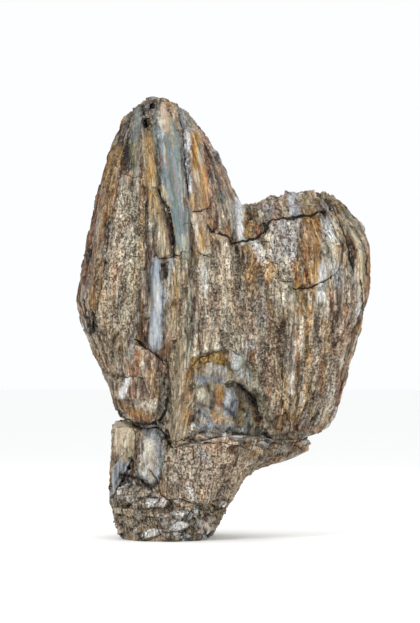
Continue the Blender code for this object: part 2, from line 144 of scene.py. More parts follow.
# Slabs of the front that stand out or lie back: rise in millimetres, and sides as (row, left, right)
SLABS = (
    (7, ((99, 153, 176), (115, 150, 180), (136, 153, 183), (160, 155.5, 185), (180, 158, 187),
         (204, 164, 188.5), (232, 174, 190), (258, 182, 190))),
    (5, ((131, 184, 201), (154, 186, 211), (176, 188, 213), (196, 190, 212), (210, 192, 209))),
    (8, ((213, 192, 207), (225, 193, 209), (238, 195.5, 212), (248, 199, 210), (255, 202, 207))),
    (6, ((131, 145, 151), (145, 144, 156), (166, 145, 157), (184, 147, 160), (191, 150, 161))),
    (5, ((176, 140, 147), (205, 140, 146), (240, 140, 145), (266, 141, 145))),
    (4, ((192, 149, 158), (214, 148, 163), (236, 149, 171), (256, 152, 178))),
    (-6, ((262, 161, 167), (276, 161, 167), (300, 160, 164))),
    (4, ((260, 151, 161), (300, 151, 162), (330, 149, 163), (350, 145, 162), (361, 155, 162))),
    (5, ((196, 98, 104), (226, 94, 107), (258, 92, 105))),
    (7, ((259, 93, 106), (285, 91, 102), (306, 88, 97), (317, 85, 91))),
    (-7, ((218, 104, 109), (245, 103, 108), (270, 105, 109))),
    (6, ((222, 270, 301), (240, 267, 300), (261, 268, 297), (281, 280, 293))),
    (7, ((218, 303, 318), (245, 300, 324), (270, 296, 326), (284, 298, 320))),
    (8, ((346, 133, 142), (356, 126, 155), (374, 119, 163), (392, 116, 165), (399, 117, 163))),
    (6, ((442, 173, 196), (452, 171, 236), (470, 166, 243), (488, 163, 236), (499, 168, 226))),
    (6, ((424, 144, 158), (437, 137, 165), (455, 135, 166), (475, 137, 160), (490, 144, 154))),
    (4, ((418, 113, 134), (436, 113, 136), (460, 114, 132))),
    (6, ((432, 206, 230), (437, 200, 242), (441, 208, 246))),
    (5, ((512, 158, 180), (521, 156, 186), (533, 160, 184))),
    (5, ((519, 197, 212), (526, 195, 213), (535, 197, 208))),
    (9, ((356, 232, 246), (368, 229, 254), (380, 236, 257), (388, 248, 259))),
    (6, ((392, 224, 240), (402, 221, 243), (414, 226, 240))),
    (5, ((404, 240, 252), (416, 239, 254), (427, 243, 254))),
)

# Cracks of the front, cut as grooves and drawn in painted shade: half width in pixels, depth in
# millimetres, and the line as (column, row)
CRACKS = (
    (1.6, 16, ((208, 226), (212, 232), (218, 232.5), (224, 235), (230, 239), (232, 244), (240, 242),
               (250, 240), (256, 239), (262, 233), (267, 229), (268, 222), (273, 219.5), (284, 218),
               (292, 218.5), (298, 218), (303, 215.5), (310, 216.5), (318, 212.5), (324, 212), (330, 210))),
    (0.7, 8, ((256, 239), (262, 241), (267, 242.5))),
    (0.35, 4, ((209, 246), (214, 243))),
    (0.35, 3, ((214, 229), (226, 220))),
    (0.45, 5, ((319, 193), (323, 199), (331, 210), (336, 214), (338, 221))),
    (1.3, 12, ((338, 221), (342, 228), (347, 241), (349, 255), (352, 267))),
    (1.25, 12, ((294, 288), (302, 288.5), (312, 287), (318, 284), (326, 280.5), (332, 276.5))),
    (0.5, 5, ((279, 281.4), (292, 281.4))),
    (0.45, 5, ((268, 260), (271, 262), (278, 263.5), (279, 273))),
    (1.2, 10, ((368, 256), (366, 265), (367, 275))),
    (1.1, 9, ((360, 281), (361.5, 290), (363, 309))),
    (0.4, 4, ((348, 304.5), (356, 304.5))),
    (0.35, 4, ((335, 288), (341, 290), (344, 295))),
    (0.4, 5, ((345, 225), (356, 227))),
    (0.4, 5, ((353, 243), (364, 251))),
    (0.45, 7, ((264.5, 313.5), (272, 320), (277, 325), (281, 340), (282.5, 355), (282.5, 390), (281, 430))),
    (0.4, 5, ((308, 401), (311, 408), (312, 415), (311, 423))),
    (1.3, 24, ((158, 189), (164, 204), (168, 208), (171, 220), (173, 235), (174, 250), (173, 257))),
    (0.9, 14, ((155, 255), (159, 258.5), (163, 259), (170, 258), (173, 255), (179, 256), (182.5, 253))),
    (0.6, 8, ((178, 112), (182, 130), (183.5, 145), (184.5, 160), (187, 180), (188.5, 200))),
    (0.8, 10, ((192, 212), (200, 211), (208, 208.5))),
    (0.7, 9, ((200, 253), (203, 256), (208, 256))),
    (0.4, 4, ((183, 225), (188, 222), (192, 224))),
    (0.9, 12, ((142, 107), (145, 118), (147, 128))),
    (0.5, 7, ((191, 368), (197, 360), (206, 355), (216, 352), (230, 350), (238, 354))),
    (0.5, 6, ((112, 218), (119, 218.5), (122, 222), (124, 228), (128, 223))),
    (0.6, 7, ((129, 214), (134, 217.5), (139, 217.5))),
    (0.5, 7, ((131, 256), (139, 256.5))),
    (0.45, 7, ((109, 215), (108, 240), (106, 258), (101, 290), (95, 315), (91, 332))),
    (1.2, 22, ((136, 340), (143, 346), (152, 352), (160, 358), (164, 364))),
    (0.5, 6, ((120, 376), (132, 377), (143, 378))),
    (1.7, 16, ((115, 409), (124, 417), (135, 423), (147, 425), (160, 421), (166, 410), (168, 398))),
    (1.3, 18, ((163, 424), (168, 434), (171, 446))),
    (0.9, 12, ((262, 434), (275, 440), (290, 443), (302, 440), (314, 434))),
    (0.6, 8, ((172, 442), (184, 440), (196, 444), (220, 442), (240, 446), (252, 451))),
    (0.5, 5, ((193, 445), (194, 460))),
    (0.5, 6, ((158, 425), (165, 435), (170, 445))),
    (1.5, 16, ((121, 474), (135, 478), (143, 482), (151, 488))),
    (0.7, 10, ((150, 470), (157, 480), (160, 492), (168, 501), (180, 499), (200, 506))),
    (0.6, 10, ((152, 512), (157, 524), (160, 535))),
    (0.6, 10, ((186, 520), (191, 510), (196, 522), (193, 534))),
    (0.6, 9, ((206, 516), (214, 511), (226, 507))),
    (0.5, 6, ((132, 420), (136, 436), (134, 456), (138, 474))),
    (0.8, 10, ((226, 384), (236, 383), (248, 392), (256, 400), (259, 416))),
    (0.4, 3, ((203, 295), (203, 325))),
    (0.4, 4, ((329, 283), (330, 315))),
    (0.4, 5, ((112, 160), (121, 172), (132, 177), (142, 178))),
)

# Hollow places of the front: depth in millimetres, half width in pixels, and the line
HOLLOWS = (
    (14, 9, ((126, 456), (117, 490))),
    (9, 7, ((121, 486), (138, 492))),
    (8, 6, ((216, 500), (224, 503))),
    (16, 2.8, ((155, 103), (151, 112))),
    (12, 1.8, ((146, 122), (148, 129))),
    (10, 1.6, ((167, 107), (169, 114))),
    (8, 7, ((125, 132), (125, 166))),
    (16, 4, ((88, 320), (94, 330))),
    (12, 3.2, ((164, 263), (164, 275))),
    (9, 3.4, ((264, 224), (265, 230))),
    (10, 3.4, ((351, 209), (353, 216))),
    (20, 3.6, ((228, 385), (238, 385), (248, 393), (255, 404), (258, 420))),
    (14, 5, ((200, 392), (203, 400))),
    (9, 2.2, ((192, 369), (204, 364), (224, 363))),
    (7, 1.6, ((208, 386), (212, 394), (210, 408))),
    (7, 1.6, ((190, 386), (206, 387), (214, 384))),
    (8, 1.8, ((238, 402), (240, 414), (238, 426))),
    (7, 1.6, ((204, 402), (216, 406), (226, 414))),
)

# Rounded lumps in and around the arched hollow: rise in millimetres, half width in pixels, and the line
LUMPS = (
    (15, 3.2, ((193, 366), (204, 360), (226, 357))),
    (12, 3.6, ((198, 378), (203, 381))),
    (13, 4.0, ((214, 377), (221, 380))),
    (12, 3.4, ((218, 390), (217, 402))),
    (26, 6.0, ((233, 357), (243, 370), (254, 386))),
    (15, 3.4, ((253, 364), (260, 388), (262, 410))),
    (22, 6.5, ((231, 397), (230, 408))),
    (20, 6.0, ((244, 410), (246, 422))),
    (14, 5.0, ((198, 392), (206, 398))),
    (14, 5.0, ((196, 410), (206, 418))),
    (12, 4.0, ((216, 416), (226, 423))),
    (10, 2.6, ((188, 370), (187, 400))),
    (9, 2.4, ((198, 438), (216, 435), (240, 437))),
    (7, 1.8, ((194, 429), (214, 426), (234, 429))),
)

# The painted front, in order: colour, strength, half width in pixels, and the line as (column, row)
# Black strokes, and the umber strokes along cracks and in small hollows, are painted shade.
PAINT = (
    # The loose splinter and flakes at the foot
    ("lilac", 0.85, 8, ((126, 454), (116, 492))),
    ("umber", 0.55, 1.2, ((127, 458), (116, 484))),
    ("white", 0.50, 1.2, ((130, 460), (120, 488))),
    ("pink", 0.50, 8, ((122, 492), (134, 492))),
    ("white", 0.60, 4, ((216, 500), (224, 503))),
    # Washes of the left column
    ("brown", 0.55, 10, ((128, 120), (112, 165), (102, 210), (94, 255), (86, 300), (88, 325))),
    ("tan", 0.75, 15, ((130, 200), (127, 250), (121, 300), (112, 345))),
    ("pink", 0.45, 8, ((122, 200), (119, 250), (114, 290))),
    ("brown", 0.45, 6, ((112, 300), (106, 330), (110, 352))),
    ("rust", 0.40, 4, ((98, 196), (90, 240), (83, 280), (82, 312))),
    # Painted shade along the step at the left slab's edge
    ("umber", 0.75, 3.2, ((107, 215), (107, 245))),
    ("ochre", 0.60, 5, ((101, 262), (97, 285), (92, 308))),
    ("blue", 0.55, 1.8, ((107, 262), (105, 290))),
    ("white", 0.50, 1.1, ((111, 218), (111, 235))),
    # Painted shade in a small hollow
    ("umber", 0.70, 5, ((88, 320), (95, 330))),
    ("rust", 0.35, 2.0, ((116, 182), (113, 200))),
    ("ochre", 0.65, 3.2, ((110, 158), (107, 186))),
    ("pink", 0.65, 2.8, ((117, 144), (115, 166))),
    ("umber", 0.95, 7.0, ((124, 131), (123, 150), (128, 166))),
    ("green", 0.55, 2.4, ((133, 137), (132, 180))),
    ("grey", 0.55, 2.0, ((138, 140), (137, 175))),
    ("cream", 0.50, 1.6, ((121, 178), (119, 214))),
    ("olive", 0.45, 4, ((128, 182), (126, 212))),
    ("rust", 0.35, 2.2, ((121, 236), (118, 262), (112, 292))),
    ("umber", 0.35, 4, ((140, 300), (136, 318), (130, 336))),
    ("cream", 0.40, 2.0, ((144, 268), (142, 296), (137, 322))),
    ("umber", 0.35, 3, ((126, 274), (121, 300), (114, 322))),
    ("grey", 0.40, 2.2, ((84, 318), (92, 345))),
    ("pink", 0.50, 4, ((100, 340), (108, 366))),
    ("ochre", 0.50, 6, ((116, 150), (112, 190), (108, 220))),
    ("cream", 0.50, 5, ((124, 180), (122, 214))),
    ("grey", 0.45, 5, ((133, 186), (131, 214))),
    ("cream", 0.45, 6, ((128, 232), (124, 262))),
    # Top of the spire
    ("blue", 0.75, 5, ((138, 108), (136, 136))),
    ("lilac", 0.60, 1.2, ((142.5, 110), (142.5, 135))),
    ("blue", 0.50, 3, ((129, 118), (127, 130))),
    ("lilac", 0.75, 4, ((153, 100), (149, 110))),
    ("pink", 0.70, 4, ((160, 106), (165, 130), (168, 145))),
    ("white", 0.55, 1.6, ((160, 108), (163, 122))),
    ("tan", 0.60, 3, ((170, 112), (174, 135))),
    ("rust", 0.50, 3.4, ((168, 106), (170, 116))),
    ("grey", 0.75, 6, ((183, 106), (189, 130))),
    ("lilac", 0.60, 2.0, ((183, 108), (184, 126))),
    # Painted shade in the holes and clefts at the top of the spire
    ("black", 0.85, 2.6, ((155, 103), (151, 112))),
    ("black", 0.80, 1.6, ((143.5, 106), (144.5, 128))),
    ("black", 0.85, 2.6, ((147, 123), (148, 129))),
    ("umber", 0.70, 2.4, ((168, 107), (170, 115))),
    # The ochre rib left of the plank
    ("olive", 0.75, 6.5, ((149, 134), (151, 160), (153, 188))),
    ("ochre", 0.65, 3.2, ((148, 140), (150, 165), (151, 184))),
    ("umber", 0.55, 1.3, ((156, 142), (158, 180))),
    ("pink", 0.50, 2.2, ((152, 187), (161, 191))),
    # The blue-grey plank
    ("blue", 0.95, 12.5, ((166, 132), (169, 150))),
    ("blue", 0.85, 6, ((157, 112), (161, 132))),
    ("blue", 0.95, 13, ((170, 148), (175, 190))),
    ("blue", 0.92, 11, ((176, 190), (180, 215))),
    ("blue", 0.90, 7.5, ((181, 210), (184, 252))),
    ("grey", 0.75, 5, ((186, 240), (188, 300), (189, 345))),
    ("green", 0.40, 3.0, ((187, 255), (189, 300), (190, 342))),
    ("umber", 0.65, 1.2, ((192, 262), (193, 300), (192, 345))),
    ("umber", 0.65, 1.2, ((182, 258), (181, 300), (181, 345))),
    ("brown", 0.55, 1.6, ((187, 270), (186, 310), (187, 340))),
    ("lilac", 0.40, 2.2, ((160, 130), (166, 165), (172, 198))),
    ("lilac", 0.35, 1.6, ((171, 140), (177, 180), (182, 214))),
    ("grey", 0.45, 1.6, ((176, 132), (181, 170), (184, 200))),
    ("green", 0.40, 1.4, ((164, 138), (170, 176), (176, 206))),
    ("umber", 0.55, 1.2, ((158, 142), (161, 172))),
    ("brown", 0.60, 2.0, ((184, 162), (186, 206))),
    ("pink", 0.65, 4.2, ((163, 108), (167, 128))),
    ("tan", 0.40, 2.0, ((169, 118), (173, 146))),
    ("cream", 0.45, 1.2, ((158, 112), (162, 132))),
    # Slab right of the plank
    ("pink", 0.70, 11, ((196, 137), (200, 205))),
    ("ochre", 0.80, 5, ((195, 137), (196, 166))),
    ("rust", 0.50, 2.0, ((192, 140), (193, 160))),
    ("gold", 0.45, 2.4, ((197, 142), (197, 160))),
    ("grey", 0.70, 1.8, ((200, 144), (201, 163))),
    ("lilac", 0.85, 2.8, ((187, 131), (188, 160), (190, 196))),
    ("white", 0.75, 2.0, ((187, 134), (188, 160), (190, 190))),
    ("rust", 0.60, 3.4, ((206, 136), (208, 170), (209, 206))),
    ("ochre", 0.60, 3.0, ((202, 166), (203, 206))),
    ("umber", 0.50, 2.6, ((211, 156), (213, 180))),
    ("ochre", 0.60, 3.4, ((193, 196), (194, 209))),
    ("pink", 0.70, 8, ((199, 215), (203, 250))),
    ("ochre", 0.65, 3.2, ((201, 230), (203, 250))),
    ("cream", 0.50, 2.0, ((194, 215), (197, 236))),
    ("ochre", 0.65, 2.4, ((198, 253), (199, 262))),
    ("lilac", 0.65, 5.5, ((205, 258), (206, 290))),
    ("pink", 0.45, 6, ((198, 262), (199, 300), (200, 345))),
    # Painted shade along a thin crack
    ("black", 0.55, 1.8, ((203, 297), (202, 310), (204, 324))),
    # The shoulder
    ("lilac", 0.60, 5, ((219, 150), (228, 180), (236, 205))),
    ("blue", 0.55, 3, ((220, 196), (224, 212))),
    ("green", 0.45, 2, ((219, 200), (224, 210))),
    ("ochre", 0.55, 2.6, ((219, 165), (230, 190), (234, 206))),
    ("rust", 0.35, 1.8, ((216, 170), (224, 192))),
    ("white", 0.75, 4.5, ((238, 202), (242, 240))),
    ("lilac", 0.60, 2.0, ((233, 200), (236, 236))),
    ("pink", 0.60, 5, ((221, 208), (224, 230))),
    ("rust", 0.60, 2.6, ((212, 220), (215, 228))),
    ("ochre", 0.50, 2.0, ((226, 225), (229, 235))),
    # The tan ribs and the lilac strips
    ("tan", 0.75, 10, ((156, 195), (162, 225), (167, 256))),
    ("ochre", 0.55, 3.4, ((153, 192), (156, 214))),
    ("brown", 0.50, 2.2, ((160, 196), (166, 222), (170, 248))),
    ("umber", 0.70, 2.6, ((163, 203), (169, 218), (172, 240), (173, 255))),
    ("cream", 0.55, 1.8, ((152, 224), (153, 242))),
    ("ochre", 0.60, 2.8, ((143, 182), (142, 222), (142, 262))),
    ("umber", 0.50, 1.4, ((147, 190), (147, 240), (148, 262))),
    ("grey", 0.40, 2.0, ((157, 228), (160, 250))),
    ("lilac", 0.95, 5.5, ((156, 262), (156, 300), (155, 345))),
    ("white", 0.25, 2.0, ((157, 285), (157, 320), (155, 348))),
    ("lilac", 0.80, 3.2, ((149, 330), (151, 352))),
    ("blue", 0.45, 1.6, ((153, 268), (152, 310))),
    ("lilac", 0.75, 3.6, ((173, 262), (169, 285), (166, 300))),
    ("lilac", 0.45, 1.6, ((166, 300), (163, 330))),
    # Painted shade in a small hollow
    ("umber", 0.75, 3.0, ((164, 264), (163, 278))),
    ("tan", 0.70, 6, ((176, 275), (172, 310), (172, 345))),
    ("ochre", 0.50, 2.6, ((175, 285), (172, 330))),
    ("rust", 0.50, 3.4, ((171, 330), (170, 348))),
    ("umber", 0.45, 1.8, ((165, 305), (164, 345))),
    ("brown", 0.55, 5, ((168, 348), (172, 372))),
    ("tan", 0.80, 9, ((180, 350), (179, 390), (176, 436))),
    ("pink", 0.50, 3, ((185, 352), (182, 390), (177, 430))),
    ("grey", 0.40, 2, ((190, 344), (188, 372))),
    ("umber", 0.60, 2.6, ((168, 368), (169, 398), (172, 428))),
    # The wedged block
    ("rust", 0.40, 16, ((143, 366), (140, 392))),
    ("pink", 0.65, 9, ((146, 372), (142, 396))),
    ("pink", 0.60, 6, ((128, 366), (122, 392))),
    ("brown", 0.50, 3, ((148, 360), (150, 388))),
    ("rust", 0.60, 2.4, ((137, 352), (135, 374), (131, 396))),
    ("umber", 0.45, 2.0, ((157, 366), (160, 392))),
    ("ochre", 0.50, 3.0, ((152, 372), (155, 396))),
    ("cream", 0.45, 2.2, ((144, 358), (143, 372))),
    ("white", 0.80, 3.4, ((128, 380), (121, 397))),
    ("cream", 0.55, 5, ((134, 404), (156, 407))),
    ("grey", 0.50, 3, ((140, 409), (158, 412))),
    ("ochre", 0.75, 4.2, ((118, 402), (132, 412), (148, 417))),
    ("rust", 0.60, 2.2, ((124, 410), (138, 419), (152, 420))),
    # Painted shade in the gap under the wedged block
    ("umber", 0.80, 3.4, ((115, 411), (125, 420), (138, 426), (152, 427), (163, 421))),
    # The middle face above the hollow
    ("tan", 0.60, 15, ((215, 262), (222, 305), (224, 345))),
    ("pink", 0.45, 9, ((222, 250), (228, 290), (232, 325))),
    ("umber", 0.35, 3.5, ((212, 300), (218, 320), (224, 338))),
    ("rust", 0.45, 2.4, ((213, 252), (217, 285), (219, 312))),
    ("ochre", 0.55, 2.4, ((222, 256), (224, 292))),
    ("blue", 0.45, 2.6, ((231, 250), (235, 285))),
    ("cream", 0.45, 1.8, ((238, 252), (243, 300), (246, 340))),
    ("umber", 0.30, 8, ((212, 318), (236, 318))),
    ("cream", 0.40, 18, ((216, 268), (224, 330))),
    ("ochre", 0.50, 4, ((233, 280), (238, 330))),
    ("pink", 0.55, 6, ((212, 290), (214, 330))),
    ("grey", 0.45, 6, ((226, 322), (234, 344))),
    ("white", 0.50, 4, ((204, 270), (206, 288))),
    ("rust", 0.45, 2.4, ((246, 300), (250, 340))),
    # The hollow
    ("olive", 0.60, 34, ((226, 392), (228, 402))),
    ("cream", 0.35, 26, ((222, 396), (228, 404))),
    ("gold", 0.85, 5.0, ((196, 363), (210, 358), (226, 357))),
    ("cream", 0.70, 2.2, ((194, 356), (208, 350), (230, 347), (240, 351))),
    ("ochre", 0.70, 5, ((191, 372), (190, 398), (186, 420))),
    ("gold", 0.55, 4, ((206, 366), (218, 364))),
    # Painted shadow along the top of the gold rim
    ("umber", 0.55, 2.0, ((200, 357), (212, 352), (228, 350))),
    ("lilac", 0.85, 4.5, ((197, 379), (203, 381))),
    ("lilac", 0.80, 4.2, ((213, 379), (221, 380))),
    ("white", 0.50, 5, ((210, 368), (222, 370))),
    ("cream", 0.50, 6, ((195, 388), (207, 400))),
    ("rust", 0.60, 4.5, ((219, 390), (218, 402))),
    ("gold", 0.55, 2.8, ((220, 388), (221, 398))),
    ("grey", 0.85, 8.5, ((238, 358), (243, 372), (254, 384))),
    ("white", 0.40, 7, ((236, 358), (244, 370), (255, 386))),
    ("green", 0.35, 5, ((244, 364), (257, 386))),
    ("white", 0.30, 1.6, ((232, 364), (240, 378))),
    ("umber", 0.60, 1.4, ((246, 364), (255, 382))),
    ("green", 0.45, 3, ((249, 362), (258, 380))),
    ("tan", 0.60, 2.4, ((238, 379), (248, 384), (257, 392))),
    # Painted shadow under the edge of the grey curtain
    ("black", 0.80, 2.2, ((228, 386), (238, 385), (248, 393), (255, 403), (258, 420))),
    ("lilac", 0.85, 6.5, ((231, 396), (230, 410))),
    ("white", 0.45, 2.4, ((228, 394), (226, 406))),
    ("tan", 0.60, 5, ((246, 408), (247, 424))),
    ("blue", 0.40, 3, ((243, 410), (243, 424))),
    ("green", 0.60, 4.5, ((257, 366), (261, 392), (262, 408))),
    ("lilac", 0.60, 6, ((199, 408), (206, 418))),
    ("cream", 0.45, 3, ((192, 402), (196, 416))),
    ("ochre", 0.50, 3.5, ((213, 414), (224, 424))),
    ("umber", 0.40, 2.4, ((207, 392), (212, 406))),
    # Painted shade in the narrow hollows left of the arch
    ("olive", 0.60, 1.6, ((190, 386), (206, 387), (214, 384))),
    ("umber", 0.55, 1.6, ((208, 386), (212, 394), (210, 408), (198, 404))),
    ("gold", 0.60, 1.8, ((240, 400), (243, 412), (240, 426))),
    ("blue", 0.60, 4, ((246, 412), (248, 422))),
    ("umber", 0.60, 1.6, ((222, 404), (232, 412), (237, 424))),
    # The seam
    ("grey", 0.80, 6, ((188, 437), (222, 430), (262, 433), (288, 441))),
    ("blue", 0.60, 4, ((206, 430), (236, 429), (262, 436))),
    ("lilac", 0.90, 3.0, ((200, 439), (216, 436), (240, 438))),
    ("white", 0.50, 1.4, ((202, 437), (218, 435), (238, 437))),
    ("umber", 0.70, 1.4, ((196, 434), (214, 431), (236, 434), (262, 438))),
    ("lilac", 0.70, 3.0, ((196, 428), (214, 425), (232, 428))),
    ("umber", 0.60, 2.0, ((206, 442), (232, 441), (252, 443))),
    # Painted shade under the lobe
    ("umber", 0.80, 4, ((262, 437), (282, 443), (302, 438))),
    ("rust", 0.60, 3.4, ((288, 444), (304, 441))),
    ("brown", 0.50, 8, ((258, 450), (288, 452))),
    # Top and left of the lobe
    ("olive", 0.70, 7, ((251, 212), (252, 236))),
    ("ochre", 0.50, 4, ((248, 214), (247, 234))),
    ("rust", 0.65, 3.4, ((257, 225), (259, 236))),
    # Painted shade in a small hollow
    ("umber", 0.85, 3.2, ((265, 223), (266, 231))),
    ("lilac", 0.70, 3.0, ((260, 208), (269, 207), (271, 218))),
    ("rust", 0.50, 2.8, ((277, 204), (278, 216))),
    ("pink", 0.55, 5, ((284, 203), (284, 216))),
    ("lilac", 0.85, 5, ((292, 196), (294, 214))),
    ("white", 0.50, 2.4, ((291, 199), (292, 212))),
    ("olive", 0.50, 5, ((305, 200), (312, 210))),
    ("lilac", 0.55, 3.4, ((322, 204), (327, 208))),
    ("olive", 0.60, 6, ((326, 197), (342, 208))),
    ("lilac", 0.60, 3.4, ((329, 220), (332, 232))),
    # Painted shade in a small hollow
    ("umber", 0.75, 3, ((349, 210), (355, 217))),
    ("grey", 0.60, 6, ((347, 216), (351, 238))),
    ("white", 0.70, 13, ((284, 230), (284, 252))),
    ("lilac", 0.45, 10, ((283, 232), (286, 250))),
    ("cream", 0.70, 11, ((332, 232), (334, 256))),
    ("lilac", 0.55, 6, ((327, 222), (333, 238))),
    ("white", 0.60, 5, ((333, 250), (336, 262))),
    ("cream", 0.65, 12, ((280, 290), (286, 306))),
    ("cream", 0.60, 9, ((324, 306), (334, 312))),
    ("cream", 0.60, 10, ((340, 300), (344, 322))),
    ("grey", 0.35, 5, ((278, 240), (284, 258))),
    ("white", 0.75, 2.4, ((299, 221), (299, 226))),
    ("rust", 0.75, 6.5, ((312, 222), (309, 250), (306, 284))),
    ("brown", 0.55, 4, ((306, 226), (304, 262))),
    ("ochre", 0.65, 3.4, ((317, 226), (317, 262), (312, 280))),
    ("umber", 0.40, 1.8, ((310, 232), (308, 270))),
    ("rust", 0.55, 2.4, ((259, 256), (259, 268))),
    ("ochre", 0.50, 3.0, ((248, 250), (252, 280))),
    ("rust", 0.35, 4, ((244, 262), (250, 300))),
    ("lilac", 0.65, 3.2, ((269, 254), (273, 256))),
    ("ochre", 0.70, 4.2, ((297, 266), (298, 286))),
    ("ochre", 0.65, 3.4, ((303, 291), (303, 301))),
    ("white", 0.75, 4.2, ((323, 266), (322, 282))),
    ("white", 0.65, 4.0, ((320, 286), (322, 297))),
    ("cream", 0.50, 4, ((324, 240), (326, 262))),
    ("tan", 0.60, 9, ((337, 236), (341, 268))),
    ("ochre", 0.55, 2.6, ((340, 242), (344, 248))),
    ("ochre", 0.55, 2.6, ((344, 258), (348, 267))),
    ("lilac", 0.60, 5, ((340, 272), (343, 290))),
    ("tan", 0.70, 4.5, ((361, 254), (361, 280))),
    ("grey", 0.50, 3, ((358, 230), (362, 250))),
    ("lilac", 0.65, 3.0, ((359, 305), (357, 322))),
    ("pink", 0.70, 11, ((342, 292), (342, 322), (340, 345))),
    ("white", 0.60, 5, ((326, 222), (332, 236))),
    ("cream", 0.55, 6, ((338, 244), (342, 262))),
    ("cream", 0.60, 5, ((286, 266), (288, 282))),
    ("green", 0.45, 4, ((292, 288), (298, 300))),
    ("white", 0.55, 4, ((252, 244), (256, 250))),
    ("rust", 0.70, 2.4, ((258, 250), (259, 266))),
    ("tan", 0.60, 6, ((352, 222), (356, 238))),
    ("white", 0.60, 3, ((362, 300), (359, 314))),
    ("ochre", 0.45, 11, ((311, 226), (308, 282))),
    ("white", 0.70, 5, ((256, 244), (262, 256))),
    ("ochre", 0.55, 7, ((246, 250), (250, 290))),
    ("white", 0.65, 6, ((336, 268), (340, 284))),
    ("ochre", 0.60, 5, ((340, 248), (342, 262))),
    ("cream", 0.55, 10, ((350, 276), (352, 300))),
    # The lower lobe
    ("ochre", 0.38, 26, ((296, 330), (300, 372), (302, 404))),
    ("cream", 0.50, 5, ((300, 320), (301, 350))),
    ("cream", 0.50, 4, ((318, 330), (319, 372))),
    ("white", 0.45, 3, ((293, 340), (292, 392))),
    ("white", 0.45, 3, ((262, 300), (266, 322))),
    ("rust", 0.50, 3, ((320, 352), (322, 392))),
    ("rust", 0.50, 3, ((266, 352), (268, 392))),
    ("ochre", 0.50, 4, ((276, 350), (277, 400))),
    ("brown", 0.35, 12, ((262, 290), (268, 330), (272, 380))),
    ("pink", 0.35, 7, ((262, 335), (270, 372), (273, 410))),
    ("blue", 0.45, 2.0, ((275, 303), (280, 308))),
    ("umber", 0.60, 4.2, ((286, 322), (287, 345), (286, 372))),
    ("grey", 0.45, 2.6, ((286, 330), (286, 362))),
    ("cream", 0.60, 2.2, ((292, 322), (291, 360), (290, 410))),
    ("rust", 0.55, 2.2, ((297, 325), (296, 372))),
    ("cream", 0.50, 2.0, ((303, 330), (303, 372), (300, 412))),
    ("ochre", 0.50, 3.0, ((308, 308), (308, 350), (307, 396))),
    ("brown", 0.50, 2.0, ((313, 310), (313, 356))),
    ("cream", 0.50, 2.2, ((319, 318), (318, 360), (314, 392))),
    ("rust", 0.65, 2.2, ((330, 296), (332, 330), (333, 360))),
    ("ochre", 0.55, 3.2, ((325, 322), (325, 366), (323, 390))),
    ("rust", 0.75, 3.6, ((341, 372), (338, 404))),
    ("rust", 0.65, 2.6, ((347, 300), (346, 340))),
    ("umber", 0.60, 1.8, ((331, 300), (333, 340))),
    ("umber", 0.55, 1.6, ((335, 340), (337, 380))),
    ("cream", 0.55, 2.4, ((331, 394), (328, 414))),
    ("pink", 0.55, 3.2, ((347, 330), (344, 356))),
    ("lilac", 0.60, 2.4, ((305, 411), (304, 426))),
    ("blue", 0.50, 3.6, ((316, 396), (316, 420))),
    ("umber", 0.70, 1.6, ((332, 413), (330, 422))),
    ("rust", 0.45, 5, ((296, 428), (318, 428))),
    # Below the seam
    ("pink", 0.70, 30, ((196, 466), (216, 470))),
    ("grey", 0.35, 10, ((180, 462), (200, 478))),
    ("lilac", 0.60, 4.5, ((200, 452), (206, 458))),
    ("umber", 0.35, 4, ((222, 462), (226, 480))),
    ("rust", 0.30, 4, ((210, 446), (232, 450))),
    ("tan", 0.75, 10, ((124, 424), (124, 452))),
    ("cream", 0.45, 8, ((122, 424), (122, 446))),
    ("pink", 0.45, 4, ((120, 426), (119, 450))),
    ("grey", 0.80, 12, ((154, 436), (151, 474))),
    ("lilac", 0.45, 11, ((154, 434), (151, 474))),
    ("cream", 0.55, 4, ((146, 440), (143, 472))),
    ("white", 0.45, 2.4, ((153, 434), (149, 466))),
    # The umber lines here follow cracks: painted shade
    ("umber", 0.70, 1.4, ((158, 432), (162, 440), (166, 452))),
    ("umber", 0.60, 1.2, ((136, 428), (136, 450), (138, 476))),
    ("tan", 0.45, 2.6, ((152, 446), (150, 480))),
    ("umber", 0.80, 3.2, ((167, 438), (169, 447))),
    # Painted shade in the crack beside the splinter
    ("umber", 0.80, 4.0, ((123, 476), (136, 480), (150, 488))),
    ("grey", 0.60, 16, ((136, 505), (150, 512))),
    ("brown", 0.45, 8, ((132, 514), (172, 508))),
    ("lilac", 0.55, 3.4, ((126, 496), (140, 500))),
    ("tan", 0.55, 3.4, ((124, 506), (138, 512))),
    ("lilac", 0.85, 8, ((166, 521), (178, 525))),
    ("white", 0.65, 4.5, ((162, 518), (176, 521))),
    ("white", 0.85, 7, ((203, 524), (205, 532))),
    ("blue", 0.70, 4, ((125, 523), (131, 524))),
    ("white", 0.70, 3.4, ((122, 497), (132, 499))),
    ("pink", 0.60, 3.0, ((122, 491), (136, 495))),
    ("white", 0.70, 3.4, ((188, 488), (196, 498))),
    ("olive", 0.65, 6, ((211, 510), (219, 514))),
    # The umber lines below follow the foot's cracks: painted shade
    ("umber", 0.80, 2.6, ((180, 500), (192, 505), (202, 507))),
    ("umber", 0.70, 2.4, ((186, 514), (192, 532))),
    ("pink", 0.50, 5, ((140, 524), (148, 532))),
    ("umber", 0.60, 2.4, ((152, 512), (156, 530))),
    ("brown", 0.50, 6, ((120, 520), (128, 534))),
)

